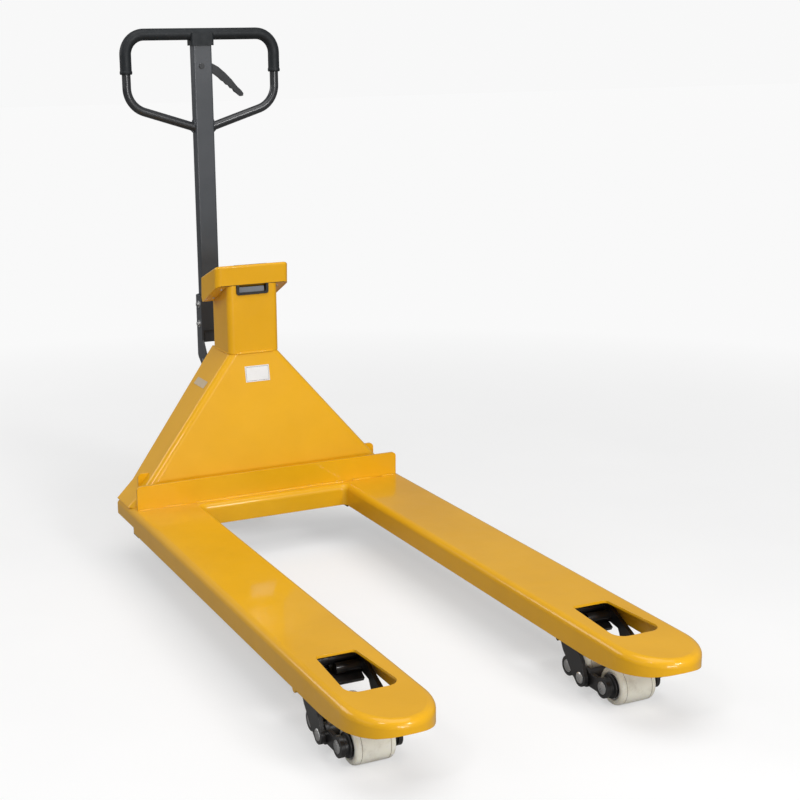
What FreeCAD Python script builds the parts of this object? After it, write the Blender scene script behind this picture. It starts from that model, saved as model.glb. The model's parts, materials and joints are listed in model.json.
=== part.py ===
import FreeCAD, Part
import Sketcher
import math
import os

# Weighing pallet jack, millimetres, +Z up. The forks point along -Y (the front) and the drawbar
# stands at the +Y end (the rear). Places are counted from the front face of the load stop plate
# (y = 0) and the floor (z = 0), with the forks raised; y_origin then moves everything so that the
# middle of the whole footprint is at the origin. Pieces are built front and rear, left (-X) and
# right (+X), from one spreadsheet of driving dimensions.

os.makedirs("parts", exist_ok=True)
V = FreeCAD.Vector
doc = FreeCAD.newDocument("PalletJack")
sheet = doc.addObject("Spreadsheet::Sheet", "Dim")

DIMENSIONS = [
    # load frame
    ("y_origin", 404.5), ("fork_top", 143), ("skirt_depth", 50), ("skin_side", 5), ("skin_top", 5),
    ("edge_round", 14), ("half_width", 342.5), ("fork_width", 160), ("fork_centre", 262.5),
    ("fork_tip", 1220), ("nose_length", 100), ("cross_front", 25), ("frame_rear", 121),
    ("rear_step", 13), ("window_half", 38), ("window_half_front", 50), ("window_rear", 930),
    ("window_front", 1091), ("window_rear_round", 8), ("window_front_round", 24),
    ("inner_corner_round", 12),
    # load stop plate
    ("stop_half", 329.5), ("stop_height", 56), ("stop_thick", 6), ("stop_round", 10),
    # inner chassis and load cells
    ("rail_in", 70), ("rail_out", 74), ("rail_low", 100), ("rail_high", 132), ("rail_tip", 905),
    ("cross_high", 137), ("tie_thick", 4), ("cell_seat", 122),
    # column
    ("sheet_thick", 3), ("column_top", 465), ("column_half_top", 61), ("column_half_low", 300),
    ("column_knee", 180), ("column_front_low", 25.1), ("column_front_top", 84.9),
    ("column_rear_low", 121), ("column_rear_top", 210), ("column_round", 17),
    ("ear_half", 304), ("ear_y", 73), ("ear_thick", 6), ("ear_high", 208),
    # neck and indicator
    ("notch_mid", -2.5), ("neck_front", 85), ("neck_rear", 200), ("neck_half", 63),
    ("neck_round", 14), ("neck_top", 640), ("notch_half", 35.5), ("notch_low", 607),
    ("hood_half", 91), ("hood_tilt", 19.86), ("hood_mid_y", 136), ("hood_mid_z", 656.5),
    ("key_width", 20), ("key_depth", 14), ("key_gap", 0.4), ("key_row", 20),
    # steer unit
    ("steer_y", 282), ("wheel_radius", 90), ("tyre_inner", 75), ("wheel_in", 37),
    ("wheel_out", 87), ("axle_z", 90), ("axle_radius", 10), ("run_fit", 0.05), ("pin_fit", 0.02),
    ("cylinder_radius", 38), ("cylinder_top", 290), ("ram_radius", 18), ("ram_low", 205),
    ("ram_top", 376), ("shoulder_z", 190), ("swivel_low", 190.5), ("swivel_top", 207),
    ("head_half", 45), ("head_low", 383), ("head_thick", 12),
    ("pivot_y", 350), ("pivot_z", 375), ("pivot_radius", 8), ("ear_in", 30), ("ear_out", 38),
    ("plunger_y", 378), ("plunger_radius", 10), ("plunger_top", 384), ("block_rear", 402),
    ("block_half", 33), ("block_low", 120), ("block_top", 320),
    # rocker and rods
    ("rocker_z", 100), ("rocker_radius", 10), ("arm_length", 138), ("arm_pin", 7),
    ("lug_length", 23.7), ("rod_pin", 5), ("rod_radius", 6), ("front_pivot_y", 880),
    ("front_pivot_z", 111), ("front_lug", 22),
    # roller frames, bogies, load rollers
    ("frame_in", 60), ("frame_out", 68), ("frame_half", 18), ("bogie_y", 1005), ("bogie_z", 36),
    ("axle_half_gap", 55), ("roller_radius", 36), ("roller_half", 37.5), ("bogie_in", 49),
    ("bogie_out", 57), ("lobe_radius", 19),
    # drawbar and handle
    ("bar_y", 392), ("bar_half_x", 24), ("bar_half_y", 14), ("bar_wall", 3), ("bar_low", 440),
    ("bar_top", 1183), ("bracket_out", 29), ("bracket_top", 558), ("bracket_front", 374),
    ("bracket_rear", 411), ("loop_half", 191), ("loop_top", 1197), ("loop_tube", 10.5),
    ("grip_radius", 14), ("corner_bend", 47), ("grip_end", 1107), ("lower_bend", 60),
    ("knee_z", 1029), ("lever_x", -4), ("lever_z", 1122), ("lever_half", 6), ("small_pin", 4),
    ("cam_radius", 10), ("cam_dy", 24.9), ("cam_dz", 20.1),
]


class Size:
    """A number together with the expression that ties it to the sheet."""

    def __init__(self, value, text):
        self.value = float(value)
        self.text = text

    def __add__(self, other):
        other = as_size(other)
        return Size(self.value + other.value, "(%s + %s)" % (self.text, other.text))

    def __radd__(self, other):
        return as_size(other) + self

    def __sub__(self, other):
        other = as_size(other)
        return Size(self.value - other.value, "(%s - %s)" % (self.text, other.text))

    def __rsub__(self, other):
        return as_size(other) - self

    def __mul__(self, other):
        other = as_size(other)
        return Size(self.value * other.value, "(%s * %s)" % (self.text, other.text))

    def __rmul__(self, other):
        return as_size(other) * self

    def __neg__(self):
        return Size(-self.value, "(0 - %s)" % self.text)


def as_size(number):
    return number if isinstance(number, Size) else Size(number, "(%.6f)" % number)


class Dims:
    """The driving dimensions, by alias."""


dim = Dims()
for row, (alias, number) in enumerate(DIMENSIONS, start=1):
    sheet.set("A%d" % row, alias)
    sheet.set("B%d" % row, "%g" % number)
    sheet.setAlias("B%d" % row, alias)
    setattr(dim, alias, Size(number, "Dim." + alias))
doc.recompute()

SIDES = (("left", -1), ("right", 1))
Y0 = dim.y_origin.value

# Axes shared by several pieces: (y, z) for those along X, (x, y) for those along Z
STEER_AXLE = (dim.steer_y, dim.axle_z)
DRAWBAR_PIVOT = (dim.pivot_y, dim.pivot_z)
CAM_AXIS = (dim.pivot_y + dim.cam_dy, dim.pivot_z + dim.cam_dz)
ROCKER_AXIS = (0, dim.rocker_z)
FRONT_PIVOT = (-dim.front_pivot_y, dim.front_pivot_z)
BOGIE_AXIS = (-dim.bogie_y, dim.bogie_z)
STEER_POST = (0, dim.steer_y)
PLUNGER_POST = (0, dim.plunger_y)


# ---------------------------------------------------------------- solids
def bind(item, prop, value):
    value = as_size(value)
    setattr(item, prop, value.value)
    item.setExpression(prop, value.text)


def place(item, x, y, z, turn=None):
    x, y, z = as_size(x), as_size(y) + dim.y_origin, as_size(z)
    item.Placement = FreeCAD.Placement(V(x.value, y.value, z.value), turn or FreeCAD.Rotation())
    for axis, value in (("x", x), ("y", y), ("z", z)):
        item.setExpression("Placement.Base." + axis, value.text)
    return item


def sized_box(length, width, height):
    item = doc.addObject("Part::Box", "box")
    bind(item, "Length", length)
    bind(item, "Width", width)
    bind(item, "Height", height)
    return item


def box(x0, x1, y0, y1, z0, z1):
    return place(sized_box(as_size(x1) - x0, as_size(y1) - y0, as_size(z1) - z0), x0, y0, z0)


def block(half, y0, y1, z0, z1, centre=0):
    """A box reaching half to each side of x = centre."""
    return box(centre - half, centre + half, y0, y1, z0, z1)


def cylinder(radius, start, end, x, y, z, turn):
    item = doc.addObject("Part::Cylinder", "cylinder")
    bind(item, "Radius", radius)
    bind(item, "Height", as_size(end) - start)
    return place(item, x, y, z, turn)


def disc(radius, span, axis):
    """A cylinder along X over span = (low, high), on axis = (y, z)."""
    return cylinder(radius, *span, span[0], *axis, FreeCAD.Rotation(V(0, 1, 0), 90))


def shaft(radius, half, axis, centre=0):
    """A cylinder along X reaching half to each side of x = centre."""
    return disc(radius, (centre - half, centre + half), axis)


def cross_pin(radius, y0, y1, x, z):
    return cylinder(radius, y0, y1, x, y0, z, FreeCAD.Rotation(V(1, 0, 0), -90))


def post(radius, z0, z1, axis):
    """A cylinder along Z on axis = (x, y)."""
    return cylinder(radius, z0, z1, *axis, z0, FreeCAD.Rotation())


def rod_between(radius, start, end):
    first, last = [V(*[as_size(c).value for c in point]) for point in (start, end)]
    item = doc.addObject("Part::Cylinder", "rod")
    bind(item, "Radius", radius)
    item.Height = (last - first).Length
    return place(item, *start, FreeCAD.Rotation(V(0, 0, 1), last - first))


def bend(tube, radius, x, y, z, start, sweep):
    """A bend of round tube in an XZ plane; start and sweep in degrees from +X towards +Z."""
    item = doc.addObject("Part::Torus", "bend")
    bind(item, "Radius1", radius)
    bind(item, "Radius2", tube)
    item.Angle3 = sweep
    upright = FreeCAD.Rotation(V(1, 0, 0), 90)
    return place(item, x, y, z, upright.multiply(FreeCAD.Rotation(V(0, 0, 1), start)))


def fixed(name, shape):
    item = doc.addObject("Part::Feature", name)
    item.Shape = shape
    item.Placement = FreeCAD.Placement()
    return item


def fuse(*items):
    item = doc.addObject("Part::MultiFuse", "fuse")
    item.Shapes = list(items)
    return item


def cut(base, *tools):
    item = doc.addObject("Part::Cut", "cut")
    item.Base = base
    item.Tool = tools[0] if len(tools) == 1 else fuse(*tools)
    return item


def common(base, tool):
    item = doc.addObject("Part::Common", "common")
    item.Base = base
    item.Tool = tool
    return item


def group(items):
    item = doc.addObject("Part::Compound", "group")
    item.Links = items
    return item


def rect(x0, x1, y0, y1):
    """Corner points; the first two are the low ones, the last two the high ones."""
    return [(x0, y0), (x1, y0), (x1, y1), (x0, y1)]


def one_side(sign, inner, outer, centre=0):
    """The X span from inner to outer, on one side of x = centre."""
    return (centre + inner, centre + outer) if sign > 0 else (centre - outer, centre - inner)


def pair(inner, outer, centre=0):
    return [one_side(sign, inner, outer, centre) for _, sign in SIDES]


def draw_outline(sketch, points):
    """A closed polygon with every corner held by two dimensions."""
    points = [(as_size(x), as_size(y)) for x, y in points]
    corners = [V(x.value, y.value, 0) for x, y in points]
    for i, corner in enumerate(corners):
        following = corners[(i + 1) % len(corners)]
        sketch.addGeometry(Part.LineSegment(corner, following), False)
    for i in range(len(corners)):
        sketch.addConstraint(Sketcher.Constraint("Coincident", i, 2, (i + 1) % len(corners), 1))
    for i, (x, y) in enumerate(points):
        for kind, value in (("DistanceX", x), ("DistanceY", y)):
            held = sketch.addConstraint(Sketcher.Constraint(kind, -1, 1, i, 1, value.value))
            if "Dim." in value.text:
                sketch.setExpression("Constraints[%d]" % held, value.text)


# Sketch plane: its two axes, then the axis the pad runs along
PLANE_AXES = {"XY": "xyz", "XZ": "xzy", "YZ": "yzx"}


def prism(plane, points, start, end, rounds=()):
    """A padded outline on plane XY, XZ or YZ, from start to end on the third axis.

    rounds: (radius, corner points) for the edges along the third axis.
    """
    body = doc.addObject("PartDesign::Body", "body")
    sketch = body.newObject("Sketcher::SketchObject", "sketch")
    origin = [item for item in body.Origin.OriginFeatures if item.Role == plane + "_Plane"][0]
    sketch.AttachmentSupport = [(origin, "")]
    sketch.MapMode = "FlatFace"
    draw_outline(sketch, points)
    start, end = as_size(start), as_size(end)
    # the XZ plane faces -Y, so its offset is turned round
    offset = -end if plane == "XZ" else start
    sketch.AttachmentOffset = FreeCAD.Placement(V(0, 0, offset.value), FreeCAD.Rotation())
    sketch.setExpression("AttachmentOffset.Base.z", offset.text)
    last = body.newObject("PartDesign::Pad", "pad")
    last.Profile = sketch
    bind(last, "Length", end - start)
    body.Placement = FreeCAD.Placement(V(0, Y0, 0), FreeCAD.Rotation())
    body.setExpression("Placement.Base.y", "Dim.y_origin")
    doc.recompute()

    across, up, along = PLANE_AXES[plane]
    for radius, corners in rounds:
        names = []
        for i, edge in enumerate(last.Shape.Edges, start=1):
            if extent([v.Point for v in edge.Vertexes], along) < 1e-3:
                continue
            mid = edge.CenterOfMass
            mid_across, mid_up = getattr(mid, across), getattr(mid, up)
            if any(math.hypot(mid_across - as_size(x).value, mid_up - as_size(y).value) < 0.5
                   for x, y in corners):
                names.append("Edge%d" % i)
        fillet = body.newObject("PartDesign::Fillet", "round")
        fillet.Base = (last, names)
        bind(fillet, "Radius", radius)
        doc.recompute()
        last = fillet
    return body


def rounded(base, radius, wanted):
    """Fillet the edges of base that pass wanted(middle, ends); middle is counted from y = 0."""
    doc.recompute()
    radius = as_size(radius).value
    edges = []
    for i, edge in enumerate(base.Shape.Edges, start=1):
        ends = [v.Point for v in edge.Vertexes]
        mid = edge.valueAt((edge.FirstParameter + edge.LastParameter) / 2) - V(0, Y0, 0)
        if wanted(mid, ends):
            edges.append((i, radius, radius))
    fillet = doc.addObject("Part::Fillet", "fillet")
    fillet.Base = base
    fillet.Edges = edges
    doc.recompute()
    return fillet


def extent(ends, axis="z"):
    """How far an edge's ends lie apart along an axis; 0 for a closed edge."""
    if len(ends) != 2:
        return 0
    return abs(getattr(ends[0], axis) - getattr(ends[1], axis))


def near(first, second, tolerance=0.1):
    return abs(as_size(first - second).value) < tolerance


# ---------------------------------------------------------------- load frame
SKIRT_LOW = dim.fork_top - dim.skirt_depth
# (y, z): what is taken off below the skirt, so that its lower edge rises round the nose
NOSE_SWEEP = [(-1230, 80), (-1040, 80), (-1040, 93), (-1080, 95.5), (-1110, 99), (-1140, 103),
              (-1170, 106.5), (-1195, 110), (-1212, 115), (-1230, 123)]


def fork_nose(sign, inset, z_low, z_high):
    """Half-ellipse end of a fork; its rear half lies inside the straight part."""
    half = (dim.fork_width * 0.5 - inset).value
    length = (dim.nose_length - inset).value
    y = (dim.nose_length - dim.fork_tip).value + Y0
    centre = V(sign * dim.fork_centre.value, y, z_low.value)
    ellipse = Part.Ellipse(centre + V(0, -length, 0), centre + V(half, 0, 0), centre)
    face = Part.Face(Part.Wire(ellipse.toShape()))
    return fixed("nose", face.extrude(V(0, 0, (z_high - z_low).value)))


def frame_plan(inset, z_low, z_high):
    """The U-shaped plan of the load frame, drawn in by inset."""
    inner = dim.fork_centre - dim.fork_width * 0.5 + inset
    outer = dim.half_width - inset
    nose_y = -(dim.fork_tip - dim.nose_length)
    front, rear = -dim.cross_front + inset, dim.frame_rear - inset
    straight = prism("XY", [
        (-outer, nose_y), (-inner, nose_y), (-inner, front), (inner, front),
        (inner, nose_y), (outer, nose_y), (outer, rear), (-outer, rear),
    ], z_low, z_high)
    return fuse(straight, *[fork_nose(sign, inset, z_low, z_high) for _, sign in SIDES])


def fork_window(centre):
    """Tapered opening through the fork top, above the load rollers."""
    wide, narrow = dim.window_half_front, dim.window_half
    points = [(centre - wide, -dim.window_front), (centre + wide, -dim.window_front),
              (centre + narrow, -dim.window_rear), (centre - narrow, -dim.window_rear)]
    return prism("XY", points, dim.fork_top - 20, dim.fork_top + 2,
                 rounds=[(dim.window_rear_round, points[2:]),
                         (dim.window_front_round, points[:2])])


def load_frame():
    """Fork shoes and cross channel: one shell, open below."""
    outside = frame_plan(0, SKIRT_LOW, dim.fork_top)
    doc.recompute()
    outside.Refine = True
    inner_x = dim.fork_centre - dim.fork_width * 0.5
    outside = rounded(outside, dim.inner_corner_round, lambda mid, ends: (
        near(abs(mid.x), inner_x) and near(mid.y, -dim.cross_front) and extent(ends) > 20))
    outside = rounded(outside, dim.edge_round,
                      lambda mid, ends: near(mid.z, dim.fork_top, 0.01))
    shell = cut(
        outside,
        frame_plan(dim.skin_side, SKIRT_LOW - 1, dim.fork_top - dim.skin_top),
        *[fork_window(sign * dim.fork_centre) for _, sign in SIDES],
        # opening in the middle of the cross channel
        block(40, 20, 130, 90, 150),
        # higher lower edge at the rear
        block(400, -4, 130, 90, SKIRT_LOW + dim.rear_step),
        # groove along the foot of the stop plate
        block(400, -1.5, -0.1, dim.fork_top - 0.5, dim.fork_top + 5),
        prism("YZ", NOSE_SWEEP, -400, 400))
    # a round nub at the lower edge of each outer skirt
    nubs = [disc(8, span, (-935, SKIRT_LOW + 1.5))
            for span in pair(dim.half_width - dim.skin_side, dim.half_width)]
    return fuse(shell, *nubs)


def load_stop_plate():
    top = dim.fork_top + dim.stop_height
    points = rect(-dim.stop_half, dim.stop_half, dim.fork_top, top)
    return prism("XZ", points, 0, dim.stop_thick, rounds=[(dim.stop_round, points[2:])])


def entry_skids():
    profile = [(-1188, 138), (-1188, 106), (-1180, 98), (-1160, 95), (-1150, 100), (-1150, 138)]
    return group([prism("YZ", profile, sign * dim.fork_centre - 22, sign * dim.fork_centre + 22)
                  for _, sign in SIDES])


# ---------------------------------------------------------------- inner chassis and load cells
# (front y, rear y) of the two cell seats in each fork
FRONT_SEAT = (-730, -610)
REAR_SEAT = (-180, -60)
REAR_CELL_OFFSET = 43


def inner_chassis():
    rails = []
    seat_low = dim.cell_seat - dim.tie_thick
    for _, sign in SIDES:
        centre = sign * dim.fork_centre
        for span in pair(dim.rail_in, dim.rail_out, centre):
            rails.append(box(*span, -dim.rail_tip, 104, dim.rail_low, dim.rail_high))
            # deeper plate round the rocker shaft
            rails.append(box(*span, -18, 18, 84, dim.rail_high))
        rails.append(block(dim.rail_in, -290, -250, 96, 96 + dim.tie_thick + 4, centre))
        rails.append(block(dim.rail_in, *FRONT_SEAT, seat_low, dim.cell_seat, centre))
        span = one_side(sign, 24, dim.rail_in, centre)
        rails.append(box(*span, *REAR_SEAT, seat_low, dim.cell_seat))
    rails.append(cut(block(336, -19, 104, dim.rail_high, dim.cross_high),
                     block(40, 20, 110, 130, 140)))
    return cut(fuse(*rails), shaft(dim.rocker_radius + dim.run_fit, 340, ROCKER_AXIS),
               shaft(dim.pivot_radius + dim.pin_fit, 340, FRONT_PIVOT))


def load_cells():
    """Two bars with a round button on top, in each fork."""
    cells = []
    for _, sign in SIDES:
        for (front, rear), offset in ((FRONT_SEAT, 0), (REAR_SEAT, REAR_CELL_OFFSET)):
            x = sign * dim.fork_centre + sign * offset
            cells.append(fuse(block(15, front + 2, rear - 2, dim.cell_seat, 136, x),
                              post(8, 130, 138, (x, rear - 30))))
    return group(cells)


# ---------------------------------------------------------------- column
def ratio(first, second):
    return first.value / second.value


COLUMN_RISE = dim.column_top - dim.fork_top
SIDE_SLOPE = ratio(dim.column_half_low - dim.column_half_top, dim.column_top - dim.column_knee)
FLARE = ratio(dim.half_width - dim.column_half_low, dim.column_knee - dim.fork_top)
FRONT_SLOPE = ratio(dim.column_front_top - dim.column_front_low, COLUMN_RISE)
REAR_SLOPE = ratio(dim.column_rear_top - dim.column_rear_low, COLUMN_RISE)
# sheet thickness measured level, across the sloping sides
SIDE_SHIFT = dim.sheet_thick.value * math.hypot(1, SIDE_SLOPE)
FLARE_SHIFT = dim.sheet_thick.value * math.hypot(1, FLARE)
FRONT_SHIFT = 3.05
# how far the inner solids run past the column at top and bottom
OVERRUN = 5


def front_y(z):
    return dim.column_front_low.value + (z - dim.fork_top.value) * FRONT_SLOPE


def rear_y(z):
    return dim.column_rear_low.value + (z - dim.fork_top.value) * REAR_SLOPE


def column_face(foot, knee, top, overrun, start, end):
    """The column's front view, from its three half widths."""
    z_foot, z_top = dim.fork_top - overrun, dim.column_top + overrun
    return prism("XZ", [(-foot, z_foot), (foot, z_foot), (knee, dim.column_knee), (top, z_top),
                        (-top, z_top), (-knee, dim.column_knee)], start, end)


def column_inside(extra, start, end):
    """The space between the column's sides, drawn in by extra."""
    return column_face(dim.half_width - FLARE_SHIFT - extra + OVERRUN * FLARE,
                       dim.column_half_low - SIDE_SHIFT - extra,
                       dim.column_half_top - SIDE_SHIFT - extra - OVERRUN * SIDE_SLOPE,
                       OVERRUN, start, end)


def round_front(base, radius, tolerance):
    """Round the two long corners at the column's front."""
    return rounded(base, radius, lambda mid, ends: (
        extent(ends) > 20 and near(mid.y, front_y(mid.z), tolerance) and abs(mid.x) > 40))


def sloping_slab(face_y, z_low, z_high, y_near, y_far, x_low, x_high):
    """A slab along a sloping face, from y_near to y_far off it."""
    return prism("YZ", [(face_y(z_low) + y_near, z_low), (face_y(z_low) + y_far, z_low),
                        (face_y(z_high) + y_far, z_high), (face_y(z_high) + y_near, z_high)],
                 x_low, x_high)


def column_shell():
    """Sheet column, open at the rear, with a cross plate inside its foot."""
    outside = common(
        column_face(dim.half_width, dim.column_half_low, dim.column_half_top, 0, 0, 260),
        prism("YZ", [(dim.column_front_low, dim.fork_top), (dim.column_rear_low, dim.fork_top),
                     (dim.column_rear_top, dim.column_top),
                     (dim.column_front_top, dim.column_top)], -dim.half_width, dim.half_width))
    outside = round_front(outside, dim.column_round, 4)
    z_foot, z_top = dim.fork_top - OVERRUN, dim.column_top + OVERRUN
    shift = OVERRUN * FRONT_SLOPE
    side = prism("YZ", [(dim.column_front_low + FRONT_SHIFT - shift, z_foot), (300, z_foot),
                        (300, z_top), (dim.column_front_top + FRONT_SHIFT + shift, z_top)],
                 -dim.half_width - 20, dim.half_width + 20)
    inside = round_front(common(column_inside(0, 0, 310), side),
                         dim.column_round - dim.sheet_thick, 6)
    column = cut(outside, inside)

    points = rect(-dim.ear_half, dim.ear_half, dim.fork_top, dim.ear_high)
    plate = prism("XZ", points, dim.ear_y, dim.ear_y + dim.ear_thick,
                  rounds=[(dim.stop_round, points[2:])])
    # only the ends that stand out through the sides remain
    ears = cut(plate, column_inside(-SIDE_SHIFT + 1.5, 60, 90))
    return fuse(column, ears)


def column_back_plate():
    gap = 0.1
    plate = common(sloping_slab(rear_y, 300, 458, -5, 0, -300, 300),
                   column_inside(0.4, 100, 260))
    return cut(plate, block(dim.head_half + gap, 140, 260, dim.head_low - gap,
                            dim.head_low + dim.head_thick + gap))


def head_plate():
    """Plate over the steer unit, with two gussets behind the back plate."""
    top = dim.head_low + dim.head_thick
    plate = fuse(block(dim.head_half, 150, dim.steer_y, dim.head_low, top),
                 post(dim.head_half, dim.head_low, top, STEER_POST))
    gussets = [cut(prism("YZ", [(183, top), (236, top), (203, 452), (199, 452)], x - 4, x + 4),
                   sloping_slab(rear_y, 380, 470, -40, 0.1, -60, 60)) for x in (-34, 34)]
    return fuse(plate, *gussets)


def front_label():
    return sloping_slab(front_y, 397, 434, -0.6, -0.08, -29, 32)


def junction_box():
    return rounded(box(-90, -30, 64, 96, 250, 330), 3, lambda mid, ends: extent(ends, "y") > 10)


# (x, y, z) from the top of the junction box, up inside the column, to the indicator
CABLE_PATH = [(-60, 78, 331.8), (-58, 100, 400), (-40, 120, 480), (-45, 130, 545),
              (-45, 132, 600)]


def sensor_cable():
    points = [V(x, y + Y0, z) for x, y, z in CABLE_PATH]
    path = Part.BSplineCurve()
    path.interpolate(points)
    tangent = path.tangent(path.FirstParameter)[0]
    section = Part.Wire(Part.Circle(points[0], tangent, 3).toShape())
    return fixed("cable", Part.Wire(path.toShape()).makePipeShell([section], True, True))


# ---------------------------------------------------------------- neck
# (y, z): what the neck loses at its top, under the indicator
NECK_TOP_CUT = [(70, 634.9), (84, 628), (185, 578), (202, 603), (212, 615), (212, 700),
                (70, 700)]


def neck_block(inset, z_low, z_high):
    half = dim.neck_half - inset
    points = rect(-half, half, dim.neck_front + inset, dim.neck_rear - inset)
    return prism("XY", points, z_low, z_high, rounds=[(dim.neck_round - inset, points)])


def neck_tube():
    """Rounded square tube, notched at the top of its front wall."""
    notch = box(dim.notch_mid - dim.notch_half, dim.notch_mid + dim.notch_half, 80, 95,
                dim.notch_low, dim.neck_top)
    return cut(neck_block(0, dim.column_top, dim.neck_top),
               neck_block(dim.sheet_thick, dim.column_top - 1, dim.neck_top + 1),
               prism("YZ", NECK_TOP_CUT, -100, 100), notch)


def notch_trim():
    outer = rect(-42.5, 37.5, 604, 627.5)
    inner = rect(-36, 31, 609.5, 640)
    return cut(prism("XZ", outer, 81, 84.95, rounds=[(6, outer[:2])]),
               prism("XZ", inner, 80, 86, rounds=[(2.5, inner[:2])]))


def battery_pack():
    pack = prism("YZ", [(88.7, 530), (116, 530), (116, 608.5), (88.7, 621.5)],
                 dim.notch_mid - 33, dim.notch_mid + 33)
    return rounded(pack, 2.5, lambda mid, ends: (
        len(ends) == 2 and extent(ends, "x") < 1 and near(abs(mid.x - dim.notch_mid.value), 33)))


# ---------------------------------------------------------------- indicator
# (y, z) outlines of the hood, its hollow and its base plate
HOOD = [(84, 628), (82, 676), (200, 633.4), (202, 603), (185, 578)]
HOOD_HOLLOW = [(88.2, 608), (85.6, 671.2), (196.6, 631), (198.4, 604.4), (182.5, 580.6),
               (160, 560)]
HOOD_BASE = [(88.5, 626.2), (89.8, 629.2), (182.5, 583.3), (181.2, 580.4)]
HOOD_TOP_SLOPE = 0.36111
KEY_PLACES = (-48, -16, 16, 48)
TILT = FreeCAD.Rotation(V(1, 0, 0), -dim.hood_tilt.value)
ANGLE = math.radians(dim.hood_tilt.value)
OUTWARD = V(0, math.sin(ANGLE), math.cos(ANGLE))
DOWNHILL = V(0, math.cos(ANGLE), -math.sin(ANGLE))


def face_block(x0, x1, down0, down1, out0, out1):
    """A block squared to the hood's sloping face: across, down the slope, outward."""
    item = sized_box(as_size(x1) - x0, as_size(down1) - down0, as_size(out1) - out0)
    offset = DOWNHILL * as_size(down0).value + OUTWARD * as_size(out0).value
    return place(item, x0, dim.hood_mid_y + offset.y, dim.hood_mid_z + offset.z, TILT)


def key_block(x, gap, out0, out1):
    across = dim.key_width * 0.5 + gap
    down = dim.key_depth * 0.5 + gap
    return face_block(x - across, x + across, dim.key_row - down, dim.key_row + down, out0, out1)


def indicator_housing():
    hood = prism("YZ", HOOD, -dim.hood_half, dim.hood_half)
    hood = rounded(hood, 14, lambda mid, ends: (
        near(abs(mid.x), dim.hood_half) and extent(ends) > 20 and (mid.y < 90 or mid.y > 195)))
    top_y, top_z = HOOD[1]
    hood = rounded(hood, 5, lambda mid, ends: (
        near(mid.z - top_z, (top_y - mid.y) * HOOD_TOP_SLOPE, 1.5)))
    half = dim.hood_half - 3.4
    hollow = rounded(prism("YZ", HOOD_HOLLOW, -half, half), 11, lambda mid, ends: (
        near(abs(mid.x), half) and mid.y < 90 and extent(ends) > 20))
    return cut(hood, hollow, face_block(-38, 38, -38, -6, -12, 6),
               *[key_block(x, dim.key_gap, -12, 6) for x in KEY_PLACES])


def indicator_base():
    half = dim.hood_half - 3.7
    return rounded(prism("YZ", HOOD_BASE, -half, half), 12, lambda mid, ends: (
        len(ends) == 2 and near(abs(mid.x), half) and mid.y < 92))


def display_window():
    return face_block(-37.8, 37.8, -37.8, -6.2, -2.6, -0.6)


def indicator_board():
    return face_block(-80, 80, -44, 44, -9, -7.4)


def display_panel():
    return face_block(-35, 35, -36, -8, -7.4, -3.2)


def key(x):
    """A key with its outer edges rounded."""
    face_middle = V(0, dim.hood_mid_y.value, dim.hood_mid_z.value)
    return rounded(key_block(x, 0, -5, 2), 1.2,
                   lambda mid, ends: (mid - face_middle).dot(OUTWARD) > 1.9)


# ---------------------------------------------------------------- steer unit
def collared_pin(radius, half, collars, axis, centre=0):
    """A pin along X; collars: (radius, inner, outer), one on each side."""
    discs = [disc(size, span, axis) for size, inner, outer in collars
             for span in pair(inner, outer, centre)]
    return fuse(shaft(radius, half, axis, centre), *discs)


def pump_ram():
    return post(dim.ram_radius, dim.ram_low, dim.ram_top, STEER_POST)


def thrust_bearing():
    return post(24, dim.ram_top, dim.head_low, STEER_POST)


def swivel_bracket():
    """Ring round the cylinder, with an arm to a slotted fork on the rocker's pin."""
    low, top = dim.swivel_low, dim.swivel_top
    hook = fuse(post(50, low, top, STEER_POST), block(24, 112, 262, low, top),
                *[box(*span, 112, 152, 80, top) for span in pair(12, 20)])
    slot_half = dim.arm_pin + 1.15
    slot = block(30, 118.9, 145.6, dim.rocker_z - slot_half, dim.rocker_z + slot_half)
    return cut(hook, slot, post(dim.cylinder_radius + 0.1, 180, 220, STEER_POST))


def pump_body():
    half, rear = dim.block_half, dim.block_rear
    ear_front = 336
    ears = []
    for span in pair(dim.ear_in, dim.ear_out):
        ears.append(box(*span, ear_front, 372, 300, dim.pivot_z))
        ears.append(disc(17, span, (dim.pivot_y + 3, dim.pivot_z)))
    body = fuse(
        block(half, 246, rear, dim.block_low, dim.shoulder_z),
        # axle boss
        block(half, 252, 322, 70, 130),
        shaft(24, half, STEER_AXLE),
        post(dim.cylinder_radius, 180, dim.cylinder_top, STEER_POST),
        # block round the plunger, and the wider block below the ears
        block(half, ear_front, rear, dim.block_low, dim.block_top),
        block(dim.ear_out, 304, rear, 210, dim.block_top), *ears)
    return cut(body, post(dim.ram_radius + dim.run_fit, 140, 330, STEER_POST),
               shaft(dim.axle_radius + dim.pin_fit, 50, STEER_AXLE),
               shaft(dim.pivot_radius + dim.pin_fit, 60, DRAWBAR_PIVOT),
               post(dim.plunger_radius + dim.run_fit, 214, 330, PLUNGER_POST))


def steer_axle():
    return collared_pin(dim.axle_radius, 90, [(15, 33.1, 36.5), (15, 87.5, 90)], STEER_AXLE)


def drawbar_pivot_pin():
    return collared_pin(dim.pivot_radius, 43, [(11, 38.1, 41)], DRAWBAR_PIVOT)


def steer_tyre(sign):
    low, high = one_side(sign, dim.wheel_in, dim.wheel_out)
    tyre = cut(disc(dim.wheel_radius, (low, high), STEER_AXLE),
               disc(dim.tyre_inner, (low - 1, high + 1), STEER_AXLE))
    axle_y, axle_z = dim.steer_y.value, dim.axle_z.value
    return rounded(tyre, 4, lambda mid, ends: (
        near(math.hypot(mid.y - axle_y, mid.z - axle_z), dim.wheel_radius)
        and (near(abs(mid.x), dim.wheel_in) or near(abs(mid.x), dim.wheel_out))
        and len(ends) == 1))


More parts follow.
